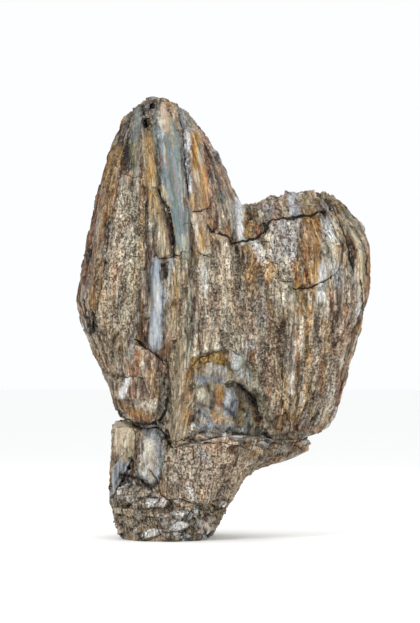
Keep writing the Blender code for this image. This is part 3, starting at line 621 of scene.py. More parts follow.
# Where the crust is granular and where the stone is smooth: strength, half width and the line
GRANULAR = (
    (1.0, 17, ((130, 205), (126, 260), (118, 320))),
    (1.0, 26, ((222, 280), (236, 330))),
    (0.9, 20, ((262, 270), (268, 340), (268, 400))),
    (1.0, 18, ((284, 230), (284, 262))),
    (1.2, 34, ((196, 466), (214, 476))),
    (0.8, 20, ((320, 330), (316, 400))),
    (0.9, 24, ((140, 512), (190, 516))),
)
SMOOTH = (
    (0.6, 26, ((220, 388), (230, 406))),
    (1.0, 12, ((166, 112), (170, 150), (176, 195), (183, 236))),
    (0.9, 6, ((156, 262), (155, 345))),
    (0.8, 10, ((152, 436), (150, 472))),
    (0.8, 10, ((124, 424), (124, 452))),
    (0.8, 8, ((166, 522), (178, 524))),
    (0.8, 6, ((203, 524), (204, 532))),
    (0.7, 8, ((194, 137), (197, 165), (200, 204))),
    (0.7, 6, ((238, 202), (242, 240))),
    (0.7, 5, ((205, 258), (206, 290))),
    (0.7, 8, ((124, 456), (116, 490))),
    (0.6, 5, ((138, 110), (137, 132))),
    (0.7, 6, ((150, 134), (152, 160), (154, 188))),
    (0.6, 4, ((137, 138), (136, 178))),
    (0.6, 7, ((125, 132), (125, 166))),
    (0.5, 6, ((222, 170), (232, 205))),
    (0.6, 6, ((292, 196), (294, 214))),
    (0.5, 6, ((308, 200), (312, 212))),
    (0.6, 8, ((323, 266), (322, 296))),
    (0.5, 6, ((361, 254), (360, 290))),
    (0.7, 7, ((236, 358), (254, 385))),
    (0.6, 6, ((231, 396), (230, 412))),
    (0.5, 9, ((156, 195), (162, 225), (167, 256))),
    (0.8, 4, ((128, 380), (121, 397))),
    (0.7, 4, ((200, 439), (240, 438))),
    (0.5, 8, ((180, 350), (179, 390), (176, 436))),
    (0.5, 8, ((200, 216), (203, 250))),
    (0.6, 5, ((183, 104), (190, 130))),
)

# Where broken stone lies in lumps: strength, half width and the line
RUBBLE = (
    (1.0, 16, ((128, 512), (160, 518), (200, 520))),
    (0.9, 9, ((124, 492), (140, 498), (170, 508))),
    (0.9, 6, ((190, 440), (220, 434), (262, 433), (288, 438))),
    (1.0, 14, ((116, 532), (204, 534))),
    (0.8, 8, ((262, 448), (292, 446), (306, 440))),
)

FAR = 99.0  # for places that a line or a cell doesn't reach
CRACK_REACH = 6.0  # pixels from a crack that are measured
NEIGHBOURS = [np.array((i, j, k)) for k in (-1, 0, 1) for j in (-1, 0, 1) for i in (-1, 0, 1)]

# Sizes of the grain's parts in metres, across the grain and along it
FIBRE_SIZE = (0.011, 0.16)
STREAK_SIZE = (0.026, 0.34)
PATCH_SIZE = (0.10, 0.42)
PLANK_SIZE = (0.050, 0.30)
CHIP_SIZE = (0.022, 0.12)
BAND_SIZE = (0.015, 0.17)
FLAKE_SIZE = (0.044, 0.105)

# Sizes of the parts without grain, in metres
GRIT_SIZE = 0.011
WEAR_SIZE = 0.018
CHUNK_SIZE = (0.060, 0.060, 0.034)
SPECK_SIZE = (0.020, 0.020, 0.030)
JAG_SIZE = 0.016
GAPE_SIZE = 0.045
MILLIMETRE = 0.001
HOLLOW_SHADE_START = -0.018  # where painted shade and dirt start in a hollow
HOLLOW_SHADE_FULL = -0.034  # where the painted shade and dirt are darkest

COLOURS = (
    "tan", "pink", "cream", "white", "lilac", "blue", "grey", "green", "olive",
    "ochre", "gold", "rust", "brown", "umber", "black",
)

# Colours of thin bands, flaky patches and rubble: strength, and the span of the cells' numbers
BAND_COLOURS = (("rust", 0.38, 0.14, 0.22), ("cream", 0.50, 0.54, 0.66), ("ochre", 0.38, 0.76, 0.84))
FLAKE_COLOURS = (
    ("brown", 0.55, 0.00, 0.13),
    ("cream", 0.60, 0.15, 0.32),
    ("pink", 0.60, 0.34, 0.48),
    ("ochre", 0.48, 0.50, 0.60),
    ("white", 0.45, 0.62, 0.70),
    ("rust", 0.45, 0.72, 0.80),
    ("grey", 0.55, 0.82, 0.92),
)
RUBBLE_COLOURS = (
    ("white", 0.62, 0.80, 0.99),
    ("pink", 0.62, 0.52, 0.70),
    ("brown", 0.62, 0.0, 0.22),
    ("grey", 0.62, 0.24, 0.42),
)


def scattered(cells, seed):
    """A number from 0 to 1 for each whole-number cell, always the same for the same cell."""
    x, y, z = (cells[:, i].astype(np.int64) for i in range(3))
    mixed = (x * 73856093) ^ (y * 19349663) ^ (z * 83492791) ^ (seed * 2654435761)
    mixed &= 0xFFFFFFFF
    mixed = ((mixed ^ (mixed >> 13)) * 1274126177) & 0xFFFFFFFF
    mixed = ((mixed ^ (mixed >> 16)) * 2246822519) & 0xFFFFFFFF
    return ((mixed ^ (mixed >> 15)) & 0xFFFFFF) / 0xFFFFFF


def noise(points, seed):
    """Smooth noise from 0 to 1, with one bump for each unit of the points."""
    low = np.floor(points)
    share = points - low
    share = share * share * (3 - 2 * share)
    total = np.zeros(len(points))
    for corner in range(8):
        step = np.array([corner & 1, corner >> 1 & 1, corner >> 2 & 1])
        weight = np.prod(np.where(step, share, 1 - share), axis=1)
        total += weight * scattered(low + step, seed)
    return total


def layered(points, seed, layers):
    """Noise with finer, weaker noise on it, from 0 to 1."""
    total = 0.0
    strength = 0.0
    size = 1.0
    for layer in range(layers):
        weight = 0.55**layer
        total = total + weight * noise(points * size, seed + layer)
        strength += weight
        size *= 2.1
    return total / strength


def planks(points, seed):
    """Cells of a split surface: each one's number, the distance to its seam, and the arm to its middle."""
    low = np.floor(points)
    nearest = np.full(len(points), FAR)
    second = np.full(len(points), FAR)
    number = np.zeros(len(points))
    arm = np.zeros((len(points), 3))
    for neighbour in NEIGHBOURS:
        cell = low + neighbour
        seat = np.stack([scattered(cell, seed + k) for k in (1, 2, 3)], axis=1)
        reach = cell + seat - points
        gap = np.linalg.norm(reach, axis=1)
        closer = gap < nearest
        second = np.where(closer, nearest, np.minimum(second, gap))
        number = np.where(closer, scattered(cell, seed + 4), number)
        arm[closer] = reach[closer]
        nearest = np.where(closer, gap, nearest)
    return number, second - nearest, arm


def ramp(values, low, high):
    """0 below low, 1 above high, and smooth between them."""
    share = np.clip((values - low) / (high - low), 0, 1)
    return share * share * (3 - 2 * share)


def offset_from_line(places, line, reach):
    """Pixels from each place to a line, below zero on its left side, or FAR beyond the reach."""
    line = np.array(line, dtype=float)
    result = np.full(len(places), FAR)
    low = line.min(axis=0) - reach
    high = line.max(axis=0) + reach
    near = np.where(np.all((places > low) & (places < high), axis=1))[0]
    here = places[near]
    best = np.full(len(near), FAR)
    side = np.ones(len(near))
    for start, end in zip(line, line[1:]):
        run = end - start
        arm = here - start
        share = np.clip(arm @ run / (run @ run), 0, 1)
        away = np.linalg.norm(arm - share[:, None] * run, axis=1)
        turn = run[0] * arm[:, 1] - run[1] * arm[:, 0]
        side = np.where(away < best, np.where(turn < 0, -1.0, 1.0), side)
        best = np.minimum(best, away)
    result[near] = best * side
    return result


def inside_slab(places, stations, edge):
    """1 inside a slab's sides and ends, and 0 outside, over an edge in pixels."""
    rows, lefts, rights = zip(*stations)
    left = np.interp(places[:, 1], rows, lefts)
    right = np.interp(places[:, 1], rows, rights)
    inner = np.minimum(places[:, 0] - left, right - places[:, 0])
    inner = np.minimum(inner, np.minimum(places[:, 1] - rows[0], rows[-1] - places[:, 1]))
    return ramp(inner, -edge, edge)


class Surface:
    """Where each point of a stone's skin lies: in metres, in the picture, and along the grain."""

    def __init__(self, points, normals):
        self.points = points
        nearness = CAMERA_DISTANCE / (CAMERA_DISTANCE + points[:, 1]) / METRES_PER_PIXEL
        column = PICTURE_COLUMNS / 2 + (points[:, 0] - CAMERA_X) * nearness
        row = PICTURE_ROWS / 2 - (points[:, 2] - CAMERA_Z) * nearness
        self.places = np.stack([column, row], axis=1)
        self.facing = ramp(-normals[:, 1], -0.10, 0.22)
        self.grain = self.straightened()
        self.fibre = layered(self.along(*FIBRE_SIZE), 11, 3)
        self.streak = layered(self.along(*STREAK_SIZE), 21, 3)
        self.patch = layered(self.along(*PATCH_SIZE), 31, 3)
        self.grit = layered(points / GRIT_SIZE, 41, 2)
        wobble = points / WEAR_SIZE
        shift = np.stack([layered(wobble, 51, 2), layered(wobble, 61, 2)], axis=1) - 0.5
        self.worn_places = self.places + shift * 3.0
        self.granular = self.strongest_of(GRANULAR)
        self.smooth = np.clip(self.strongest_of(SMOOTH), 0, 1)
        self.rubble = np.clip(self.strongest_of(RUBBLE), 0, 1)
        self.plank, self.plank_seam = planks(self.along(*PLANK_SIZE), 71)[:2]
        self.chip, self.chip_seam = planks(self.along(*CHIP_SIZE), 81)[:2]
        ragged = np.stack([self.grit, self.fibre, self.streak], axis=1) - 0.5
        self.flake, self.flake_seam, arm = planks(self.along(*FLAKE_SIZE) + 1.1 * ragged, 191)
        self.flake_lean = leaning(arm, 50 * self.flake)
        broken = points / np.array(CHUNK_SIZE) + 0.6 * self.patch[:, None]
        self.chunk, self.chunk_seam, arm = planks(broken, 131)
        self.chunk_lean = leaning(arm, 40 * self.chunk)

    def straightened(self):
        """Metres with the grain pulled straight: across it, into the stone, and along it."""
        column = self.points[:, 0] / METRES_PER_PIXEL + MIDDLE_COLUMN
        row = FOOT_ROW - self.points[:, 2] / METRES_PER_PIXEL
        lines = [np.interp(row, GRAIN_ROWS, line) for line in GRAIN_LINES]
        rest = [line[GRAIN_AT_REST] for line in GRAIN_LINES]
        before = rest[0] + column - lines[0]
        across = np.where(column < lines[0], before, rest[-1] + column - lines[-1])
        for i in range(len(lines) - 1):
            share = (column - lines[i]) / (lines[i + 1] - lines[i])
            between = (share >= 0) & (share <= 1)
            across = np.where(between, rest[i] + share * (rest[i + 1] - rest[i]), across)
        depth = self.points[:, 1] / np.interp(row, DEPTH_ROWS, DEPTH_TAPER)
        return np.stack([across * METRES_PER_PIXEL, depth, self.points[:, 2]], axis=1)

    def along(self, width, length):
        """The grain's coordinates with one unit for each width across it and length along it."""
        return self.grain / np.array([width, width, length])

    def stroke(self, half_width, line, rough=0.5):
        """How far each point lies in a stroke whose edges are frayed along the grain."""
        fray = rough * half_width + 1.0
        soft = 0.10 * half_width + 0.5
        away = np.abs(offset_from_line(self.worn_places, line, half_width + fray + soft + 2))
        edge = 0.4 * self.streak + 0.35 * self.fibre + 0.25 * self.grit - 0.5
        inside = half_width - away + edge * 3 * fray
        return ramp(inside, -soft, soft) * self.facing

    def strongest_of(self, strokes):
        """The strongest of some strokes at each point."""
        total = np.zeros(len(self.points))
        for strength, half_width, line in strokes:
            total = np.maximum(total, strength * self.stroke(half_width, line))
        return total

    def cracks(self):
        """Depth of the front's cracks in metres, and the offset and distance of the nearest, in pixels.

        The offset changes sign across a crack, so a shader can paint the crack's shade thinner than the
        mesh's faces.
        """
        depth = np.zeros(len(self.points))
        offset = np.full(len(self.points), CRACK_REACH)
        near = np.full(len(self.points), CRACK_REACH)
        jags = self.points / JAG_SIZE
        jagged = np.stack([layered(jags, 161, 2), layered(jags, 171, 2)], axis=1) - 0.5
        places = self.places + jagged * 4.0
        opening = ramp(layered(self.points / GAPE_SIZE, 181, 2), 0.30, 0.70)
        for half_width, deep, line in CRACKS:
            away = offset_from_line(places, line, CRACK_REACH)
            width = half_width * (0.65 + 0.50 * opening) * (0.7 + 0.6 * self.grit)
            groove = MILLIMETRE * deep * furrow(away, 0.8 * half_width + 0.5)
            depth = np.maximum(depth, groove * (0.5 + 0.5 * opening))
            closer = np.abs(away) < near
            offset = np.where(closer, away / width, offset)
            near = np.where(closer, np.abs(away), near)
        hidden = self.facing < 0.5
        offset[hidden] = CRACK_REACH
        near[hidden] = CRACK_REACH
        return depth * self.facing, offset, near


def leaning(arm, turn):
    """How far a cell's face leans out at each point, with the cell tipped to its own side."""
    return arm[:, 0] * np.cos(turn) + arm[:, 2] * np.sin(turn)


def furrow(distance, width):
    """1 on a seam or a line, falling away smoothly over a width."""
    return np.exp(-((distance / width) ** 2))


def relief(surface, settings, loose):
    """How far the skin moves out, in metres, at each point; loose pieces keep clear of the hollows."""
    granular = surface.granular
    smooth = surface.smooth
    rubble = surface.rubble
    split = (1 - 0.8 * smooth) * (1 - rubble) * (1 - 0.5 * np.clip(granular, 0, 1))
    height = settings.plank_rise * (surface.plank - 0.5) * split
    height -= settings.plank_groove * furrow(surface.plank_seam, 0.09) * split
    height += 0.30 * settings.plank_rise * (surface.chip - 0.5) * split
    height -= 0.35 * settings.plank_groove * furrow(surface.chip_seam, 0.10) * split
    height += rubble * settings.chunk_rise * (surface.chunk - 0.45 + 1.1 * surface.chunk_lean)
    height -= rubble * settings.chunk_rise * 0.40 * furrow(surface.chunk_seam, 0.08)
    tipped = surface.flake - 0.5 + 0.5 * surface.flake_lean
    height += settings.flake_rise * tipped * (1 - 0.85 * smooth) * (1 - rubble)
    height -= 0.25 * settings.flake_rise * furrow(surface.flake_seam, 0.08) * (1 - smooth) * (1 - rubble)
    height += settings.fibre_rise * 2 * (surface.fibre - 0.5) * (1 - 0.75 * smooth) * (1 - 0.6 * rubble)
    height += settings.fibre_rise * 2.2 * (surface.streak - 0.5) * (1 - rubble)
    height += settings.grit_rise * 2 * (surface.grit - 0.5) * (0.35 + granular) * (1 - 0.9 * smooth)
    for rise, stations in SLABS:
        height += MILLIMETRE * rise * inside_slab(surface.worn_places, stations, 0.8) * surface.facing
    if loose:
        return 0.5 * height
    for deep, half_width, line in HOLLOWS:
        height -= MILLIMETRE * deep * surface.stroke(half_width, line, 0.3)
    for rise, half_width, line in LUMPS:
        away = offset_from_line(surface.worn_places, line, 2.5 * half_width)
        height += MILLIMETRE * rise * furrow(away, half_width) * surface.facing
    return height - surface.cracks()[0]


def another(number, factor):
    """A second number from 0 to 1 for each cell, drawn from its first."""
    return (number * factor) % 1.0


class Coat:
    """A stone's colour at each point, built up in thin layers."""

    def __init__(self, settings, count):
        self.colours = {name: np.array(getattr(settings, name)) for name in COLOURS}
        self.paint = np.tile(self.colours["tan"], (count, 1))

    def lay(self, name, amount):
        """Lays a colour over the coat, from 0 for none to 1 for all of it."""
        self.paint = self.paint + (self.colours[name] - self.paint) * np.clip(amount, 0, 1)[:, None]

    def lay_cells(self, number, spans, soft, share=1.0):
        """Lays a colour on the cells whose numbers lie in its span."""
        for name, strength, low, high in spans:
            inside = ramp(number, low - soft, low) * ramp(number, high + soft, high)
            self.lay(name, inside * strength * share)


def lay_grain(coat, surface, band):
    """The stone's own hues, in planks, patches and thin bands along the grain."""
    hue = layered(surface.along(0.06, 0.55), 91, 3)
    strip = layered(surface.along(0.045, 0.5), 101, 2)
    coat.lay("pink", ramp(surface.plank, 0.45, 0.75) * 0.7)
    coat.lay("grey", ramp(surface.plank, 0.35, 0.10) * 0.6)
    coat.lay("ochre", ramp(hue, 0.52, 0.62) * 0.50)
    coat.lay("brown", ramp(surface.patch, 0.50, 0.38) * 0.65)
    coat.lay("lilac", ramp(strip, 0.64, 0.74) * 0.75)
    coat.lay_cells(band, BAND_COLOURS, 0.04)


def lay_strokes(coat, surface, crust):
    """The painted front, thinner on some of the flaky patches."""
    cover = 1.15 - 0.50 * another(surface.flake, 3.7) * crust
    for name, strength, half_width, line in PAINT:
        coat.lay(name, 1.1 * strength * cover * surface.stroke(half_width, line))


def lay_crumbs(coat, surface, crust):
    """Dark and pale crumbs of the crust, and the granular places."""
    speck = layered(surface.points / np.array(SPECK_SIZE), 201, 3)
    coat.lay("brown", ramp(speck, 0.42, 0.34) * 0.34 * crust)
    coat.lay("cream", ramp(speck, 0.60, 0.68) * 0.30 * crust)
    coat.lay("pink", np.clip(surface.granular, 0, 1) * 0.15)
    coat.lay("umber", ramp(surface.grit, 0.40, 0.28) * 0.40 * surface.granular)


def lay_seam_shade(coat, surface, band_seam, solid, crust):
    """Painted shade in the dark seams between planks, chips, bands, flakes and lumps of rubble."""
    shut = ramp(surface.streak, 0.62, 0.46)
    gape = ramp(surface.streak, 0.52, 0.40)
    coat.lay("umber", ramp(surface.plank_seam, 0.16, 0.05) * 0.75 * shut * solid)
    coat.lay("umber", ramp(surface.chip_seam, 0.08, 0.02) * 0.50 * solid)
    coat.lay("umber", ramp(band_seam, 0.08, 0.02) * 0.20 * solid)
    coat.lay("umber", ramp(surface.flake_seam, 0.12, 0.03) * 0.75 * gape * crust)
    coat.lay("black", surface.rubble * ramp(surface.chunk_seam, 0.11, 0.02) * 0.75)


def painted(surface, settings, raised):
    """The stone's colour at each point: grain everywhere, the strokes on the front, and painted shade in
    seams and hollows.
    """
    grainy = 1 - 0.75 * surface.smooth
    crust = (grainy - 0.25) / 0.75 * (1 - surface.rubble)
    solid = grainy * (1 - surface.rubble) * (1 - 0.65 * np.clip(surface.granular, 0, 1))
    band, band_seam = planks(surface.along(*BAND_SIZE) + 0.5 * surface.fibre[:, None], 141)[:2]
    coat = Coat(settings, len(surface.points))
    lay_grain(coat, surface, band)
    coat.lay_cells(surface.flake, FLAKE_COLOURS, 0.01, crust)
    lay_strokes(coat, surface, crust)
    coat.lay("tan", surface.rubble * 0.35)
    coat.lay_cells(surface.chunk, RUBBLE_COLOURS, 0.02, surface.rubble)
    lay_crumbs(coat, surface, crust)
    tone = 0.36 * (another(band, 7.3) - 0.5) + 0.26 * (another(surface.chip, 5.7) - 0.5)
    tone = 0.96 + solid * tone + 0.30 * (another(surface.flake, 9.1) - 0.5) * crust
    tone *= 1 + 0.5 * (surface.streak - 0.5) * grainy
    coat.paint = coat.paint * tone[:, None]
    # Painted shade in the seams
    lay_seam_shade(coat, surface, band_seam, solid, crust)
    # Painted shade and dirt in the hollows, darker the deeper the skin was pushed in
    coat.lay("umber", ramp(raised, HOLLOW_SHADE_START, HOLLOW_SHADE_FULL) * 0.45)
    middle = coat.colours["tan"] * 0.85
    return np.clip(middle + (coat.paint - middle) * settings.contrast, 0.006, 0.95)


def only(obj):
    """Makes the object the one that operators act on."""
    bpy.ops.object.select_all(action="DESELECT")
    obj.select_set(True)
    bpy.context.view_layer.objects.active = obj


def finished(obj, kind, **settings):
    """Adds a modifier and applies it at once."""
    only(obj)
    modifier = obj.modifiers.new(kind.lower(), kind)
    for name, value in settings.items():
        setattr(modifier, name, value)
    bpy.ops.object.modifier_apply(modifier=modifier.name)


def copy_of_node(node, name):
    """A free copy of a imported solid, with its corners joined up."""
    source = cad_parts[node]
    mesh = source.data.copy()
    mesh.transform(source.matrix_world)
    shape = bmesh.new()
    shape.from_mesh(mesh)
    bmesh.ops.remove_doubles(shape, verts=shape.verts, dist=0.00005)
    shape.to_mesh(mesh)
    shape.free()
    mesh.name = name
    obj = bpy.data.objects.new(name, mesh)
    bpy.context.scene.collection.objects.link(obj)
    return obj


def skin_of(mesh):
    """The mesh's points and normals as arrays."""
    count = len(mesh.vertices)
    points = np.empty(count * 3)
    mesh.vertices.foreach_get("co", points)
    normals = np.empty(count * 3)
    mesh.vertex_normals.foreach_get("vector", normals)
    return points.reshape(-1, 3), normals.reshape(-1, 3)


def move_skin(mesh, settings, flat_foot, loose):
    """Moves a fine skin by the relief, keeps the parting and the foot flat, and notes the heights."""
    points, normals = skin_of(mesh)
    height = relief(Surface(points, normals), settings, loose)
    level = ramp(np.abs(normals[:, 2]), 0.55, 0.85)
    near_parting = ramp(np.abs(points[:, 2] - PARTING_HEIGHT), 0.16, 0.10)
    height *= 1 - level * near_parting
    if flat_foot:
        height *= ramp(points[:, 2], 0.0, 0.02)
    moved = points + normals * height[:, None]
    if flat_foot:
        moved[:, 2] = np.maximum(moved[:, 2], 0.0)
        moved[points[:, 2] < 0.003, 2] = 0.0
    mesh.vertices.foreach_set("co", moved.ravel())
    mesh.attributes.new("raised", "FLOAT", "POINT").data.foreach_set("value", height)
    mesh.update()


def note_looks(mesh, settings):
    """Keeps what the finish reads at each point: colour with its painted shade, grain, cracks and
    coarseness.
    """
    points, normals = skin_of(mesh)
    surface = Surface(points, normals)
    raised = np.empty(len(points))
    mesh.attributes["raised"].data.foreach_get("value", raised)
    colours = np.ones((len(points), 4))
    colours[:, :3] = painted(surface, settings, raised)
    layer = mesh.attributes.new("stone_colour_and_shade", "FLOAT_COLOR", "POINT")
    layer.data.foreach_set("color", colours.ravel())
    grain = mesh.attributes.new("grain", "FLOAT_VECTOR", "POINT")
    grain.data.foreach_set("vector", surface.grain.ravel())
    offset, near = surface.cracks()[1:]
    coarse = np.clip(0.20 + 0.8 * surface.granular, 0, 1) * (1 - 0.85 * surface.smooth)
    for label, values in (("crack_offset", offset), ("crack_distance", near), ("coarseness", coarse)):
        mesh.attributes.new(label, "FLOAT", "POINT").data.foreach_set("value", values)
    mesh.attributes.remove(mesh.attributes["raised"])


def weathered(node, name, settings, faces, step, smoothing, flat_foot=False, loose=False):
    """A stone piece: the solid's fine skin, moved by the relief, thinned out and painted."""
    obj = copy_of_node(node, name)
    finished(obj, "REMESH", mode="VOXEL", voxel_size=step)
    finished(obj, "SMOOTH", factor=0.5, iterations=smoothing)
    move_skin(obj.data, settings, flat_foot, loose)
    triangles = 2 * len(obj.data.polygons)
    if triangles > faces:
        finished(obj, "DECIMATE", ratio=faces / triangles)
    note_looks(obj.data, settings)
    only(obj)
    bpy.ops.object.shade_smooth()
    return obj


class Wire:
    """A node's output, so that shader maths reads as Python expressions."""

    def __init__(self, tree, socket):
        self.tree = tree
        self.socket = socket

    def joined_to(self, kind, inputs, output=0, **settings):
        """Adds a node of any kind and wires or sets the inputs that are named."""
        node = self.tree.nodes.new(kind)
        for name, value in settings.items():
            setattr(node, name, value)
        for name, value in inputs.items():
            if isinstance(value, Wire):
                self.tree.links.new(value.socket, node.inputs[name])
            else:
                node.inputs[name].default_value = value
        return Wire(self.tree, node.outputs[output])

    def maths(self, operation, first, second):
        return self.joined_to("ShaderNodeMath", {0: first, 1: second}, operation=operation)

    def __add__(self, other):
        return self.maths("ADD", self, other)

    def __radd__(self, other):
        return self.maths("ADD", other, self)

    def __sub__(self, other):
        return self.maths("SUBTRACT", self, other)

    def __rsub__(self, other):
        return self.maths("SUBTRACT", other, self)

    def __mul__(self, other):
        return self.maths("MULTIPLY", self, other)

    def __rmul__(self, other):
        return self.maths("MULTIPLY", other, self)

    def between(self, low, high):
        """0 below low and 1 above high."""
        limits = {"Value": self, "From Min": low, "From Max": high}
        return self.joined_to("ShaderNodeMapRange", limits, interpolation_type="SMOOTHSTEP")

    def attribute(self, name, output):
        """What a piece keeps at its points under a name."""
        return self.joined_to("ShaderNodeAttribute", {}, output, attribute_name=name)

    def channel(self, number):
        """One channel of a colour."""
        return self.joined_to("ShaderNodeSeparateColor", {"Color": self}, number)

    def scaled(self, factor):
        """A vector or colour made longer or brighter."""
        return self.joined_to("ShaderNodeVectorMath", {0: self, "Scale": factor}, operation="SCALE")

    def cloud(self, scale, detail, stretch=(1, 1, 1)):
        """Cloudy noise where this vector points, from 0 to 1."""
        mapped = self.joined_to("ShaderNodeMapping", {"Vector": self, "Scale": stretch})
        texture = {"Vector": mapped, "Scale": scale, "Detail": detail, "Roughness": 0.6}
        return self.joined_to("ShaderNodeTexNoise", texture)

    def cells(self, size, stretch, feature, output):
        """Split cells of a size in metres: their colours, or the distance to their edges."""
        mapped = self.joined_to("ShaderNodeMapping", {"Vector": self, "Scale": stretch})
        texture = {"Vector": mapped, "Scale": 1 / size}
        return self.joined_to("ShaderNodeTexVoronoi", texture, output, feature=feature)

    def under(self, over, share):
        """This colour with another laid over a share of it."""
        return self.joined_to("ShaderNodeMix", {0: share, 6: self, 7: over}, 2, data_type="RGBA")


# The finish's splinters and crumbs: how they stretch along the grain, and the crumbs' size in metres
SPLINTER_STRETCH = (1, 1, 0.085)
HAIR_STRETCH = (1, 1, 0.07)
CRUMB_STRETCH = (1, 1, 0.55)
CRUMB_SIZE = 0.013


def stone_finish(name, fibre_size, settings):
    """Silicified wood: the painted colour with fibres, grit and pits too fine for the mesh."""
    material = bpy.data.materials.new(name)
    material.use_nodes = True
    tree = material.node_tree
    shader = tree.nodes["Principled BSDF"]
    start = Wire(tree, shader.outputs[0])
    colour = start.attribute("stone_colour_and_shade", 0)
    grain = start.attribute("grain", 1)
    coarse = start.attribute("coarseness", 2)
    place = start.joined_to("ShaderNodeTexCoord", {}, 3)
    dark, pale, rust, black = (
        (*getattr(settings, label), 1.0) for label in ("umber", "cream", "rust", "black")
    )

    # Splinters along the grain, crumbs across it, hairs and grit
    shift = start.joined_to("ShaderNodeTexNoise", {"Vector": place, "Scale": 90.0, "Detail": 2.0}, 1)
    centred = {0: shift, 1: (0.5, 0.5, 0.5)}
    shift = start.joined_to("ShaderNodeVectorMath", centred, operation="SUBTRACT").scaled(fibre_size * 1.1)
    frayed = start.joined_to("ShaderNodeVectorMath", {0: grain, 1: shift}, operation="ADD")
    splinter = frayed.cells(fibre_size, SPLINTER_STRETCH, "F1", 1)
    tone = splinter.channel(0)
    hue = splinter.channel(1)
    edge = frayed.cells(fibre_size, SPLINTER_STRETCH, "DISTANCE_TO_EDGE", 0)
    crumb_tone = frayed.cells(CRUMB_SIZE, CRUMB_STRETCH, "F1", 1).channel(0)
    crumb_edge = frayed.cells(CRUMB_SIZE, CRUMB_STRETCH, "DISTANCE_TO_EDGE", 0)
    calm = 0.35 + 0.65 * coarse.between(0.02, 0.20)
    hairs = grain.cloud(2.0 / fibre_size, 2.0, HAIR_STRETCH).between(0.34, 0.66)
    grit = place.cloud(120.0, 4.0).between(0.32, 0.68)
    blotch = place.cloud(24.0, 3.0)

    # Colour: shade and stains, then slits, pits and pale grains
    fine = 0.50 * (tone - 0.5) - 0.66 * (1 - hairs.between(0.12, 0.34)) + 0.34 * hairs.between(0.66, 0.88)
    fine = fine + 0.30 * (grit - 0.5)
    rough_parts = coarse * (1.00 * (crumb_tone - 0.5) + 0.60 * (grit - 0.5))
    shade = 1.05 + calm * fine * (1 - 0.7 * coarse) + rough_parts + 0.36 * (blotch - 0.5)
    stained = colour.scaled(shade).under(rust, hue.between(0.80, 0.90) * 0.34)
    stained = stained.under(pale, (1 - hue.between(0.10, 0.20)) * 0.34)
    slits = (1 - edge.between(0.02, 0.10)) * calm * (1 - 0.6 * coarse) * 0.55
    pits = (1 - crumb_edge.between(0.03, 0.12)) * (1 - grit.between(0.30, 0.70)) * (0.95 * coarse)
    grains = grit.between(0.68, 0.90) * (0.05 + 0.34 * coarse)
    base = stained.under(dark, slits).under(dark, pits).under(pale, grains)

    # Painted shade in the open cracks, thinner than the mesh's faces
    offset = start.attribute("crack_offset", 2)
    near = start.attribute("crack_distance", 2)
    reach = offset.joined_to("ShaderNodeMath", {0: offset}, operation="ABSOLUTE")
    # Black laid here is painted shade in the open gaps
    crack = (1 - reach.between(0.65, 1.10)) * (1 - near.between(2.0, 3.0)) * 0.94
    tree.links.new(base.under(black, crack).socket, shader.inputs["Base Color"])

    # Gloss and fine height
    tree.links.new((0.62 + 0.30 * grit).socket, shader.inputs["Roughness"])
    height = calm * (tone * 0.3 + edge.between(0.0, 0.14) * 0.4 + hairs * 0.25)
    height = height + coarse * (0.4 * grit + 0.6 * crumb_tone + 0.6 * crumb_edge.between(0.0, 0.2))
    bump = start.joined_to("ShaderNodeBump", {"Height": height, "Strength": 0.9, "Distance": 0.003})
    tree.links.new(bump.socket, shader.inputs["Normal"])
    shader.inputs["Specular IOR Level"].default_value = 0.35
    return material


def dress(obj, node, material):
    """Gives a finished piece its material and its place in the frame."""
    obj.data.materials.clear()
    obj.data.materials.append(material)
    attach(obj, "root")
    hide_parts(node)


# How fine the pieces are: triangles at most, size of splinters in the finish, and rounds of smoothing
TRUNK_TRIANGLES = 194000
ROOT_TRIANGLES = 120000
LOOSE_TRIANGLES = 20000
LOOSE_STEP = 0.0022
SPLINTER_WIDTH = 0.0085
LOOSE_SPLINTER_WIDTH = 0.006
SMOOTHING = 5
LOOSE_SMOOTHING = 4


class STONE_OT_trunk(bpy.types.Operator):
    """Builds the spire and the lobe, one piece of split petrified wood"""

    bl_idname = "stone.trunk"
    bl_label = "Petrified trunk"

    def execute(self, context):
        settings = context.scene.stone
        step = settings.mesh_step
        trunk = weathered("trunk", "petrified_trunk", settings, TRUNK_TRIANGLES, step, SMOOTHING)
        dress(trunk, "trunk", stone_finish("silicified_wood", SPLINTER_WIDTH, settings))
        return {"FINISHED"}


class STONE_OT_root_block(bpy.types.Operator):
    """Builds the granular block under the trunk"""

    bl_idname = "stone.root_block"
    bl_label = "Root block"

    def execute(self, context):
        settings = context.scene.stone
        step = settings.mesh_step
        block = weathered(
            "root_block", "petrified_root", settings, ROOT_TRIANGLES, step, SMOOTHING, flat_foot=True
        )
        dress(block, "root_block", stone_finish("granular_stone", SPLINTER_WIDTH, settings))
        return {"FINISHED"}


class STONE_OT_loose_pieces(bpy.types.Operator):
    """Builds the splinter and the flakes at the foot"""

    bl_idname = "stone.loose_pieces"
    bl_label = "Splinter and flakes"

    def execute(self, context):
        settings = context.scene.stone
        finish = stone_finish("broken_stone", LOOSE_SPLINTER_WIDTH, settings)
        slots = {"splinter": "splinter_stone", "left_flake": "flake_stone", "right_chip": "flake_stone"}
        for node, slot in slots.items():
            piece = weathered(
                node, f"{node}_piece", settings, LOOSE_TRIANGLES, LOOSE_STEP, LOOSE_SMOOTHING, loose=True
            )
            dress(piece, node, finish)
        return {"FINISHED"}


def area_light(name, place, aim, size, power):
    """Hangs a square light at a place, turned to where it aims; size in metres and power in watts."""
    light = bpy.data.lights.new(name, "AREA")
    light.size = size
    light.energy = power
    obj = bpy.data.objects.new(name, light)
    obj.location = place
    obj.rotation_euler = (Vector(aim) - Vector(place)).to_track_quat("-Z", "Y").to_euler()
    bpy.context.scene.collection.objects.link(obj)


# The studio, in metres
FLOOR_SIZE = 60
FLOOR_GAP = 0.0005
SENSOR_HEIGHT = 24  # millimetres


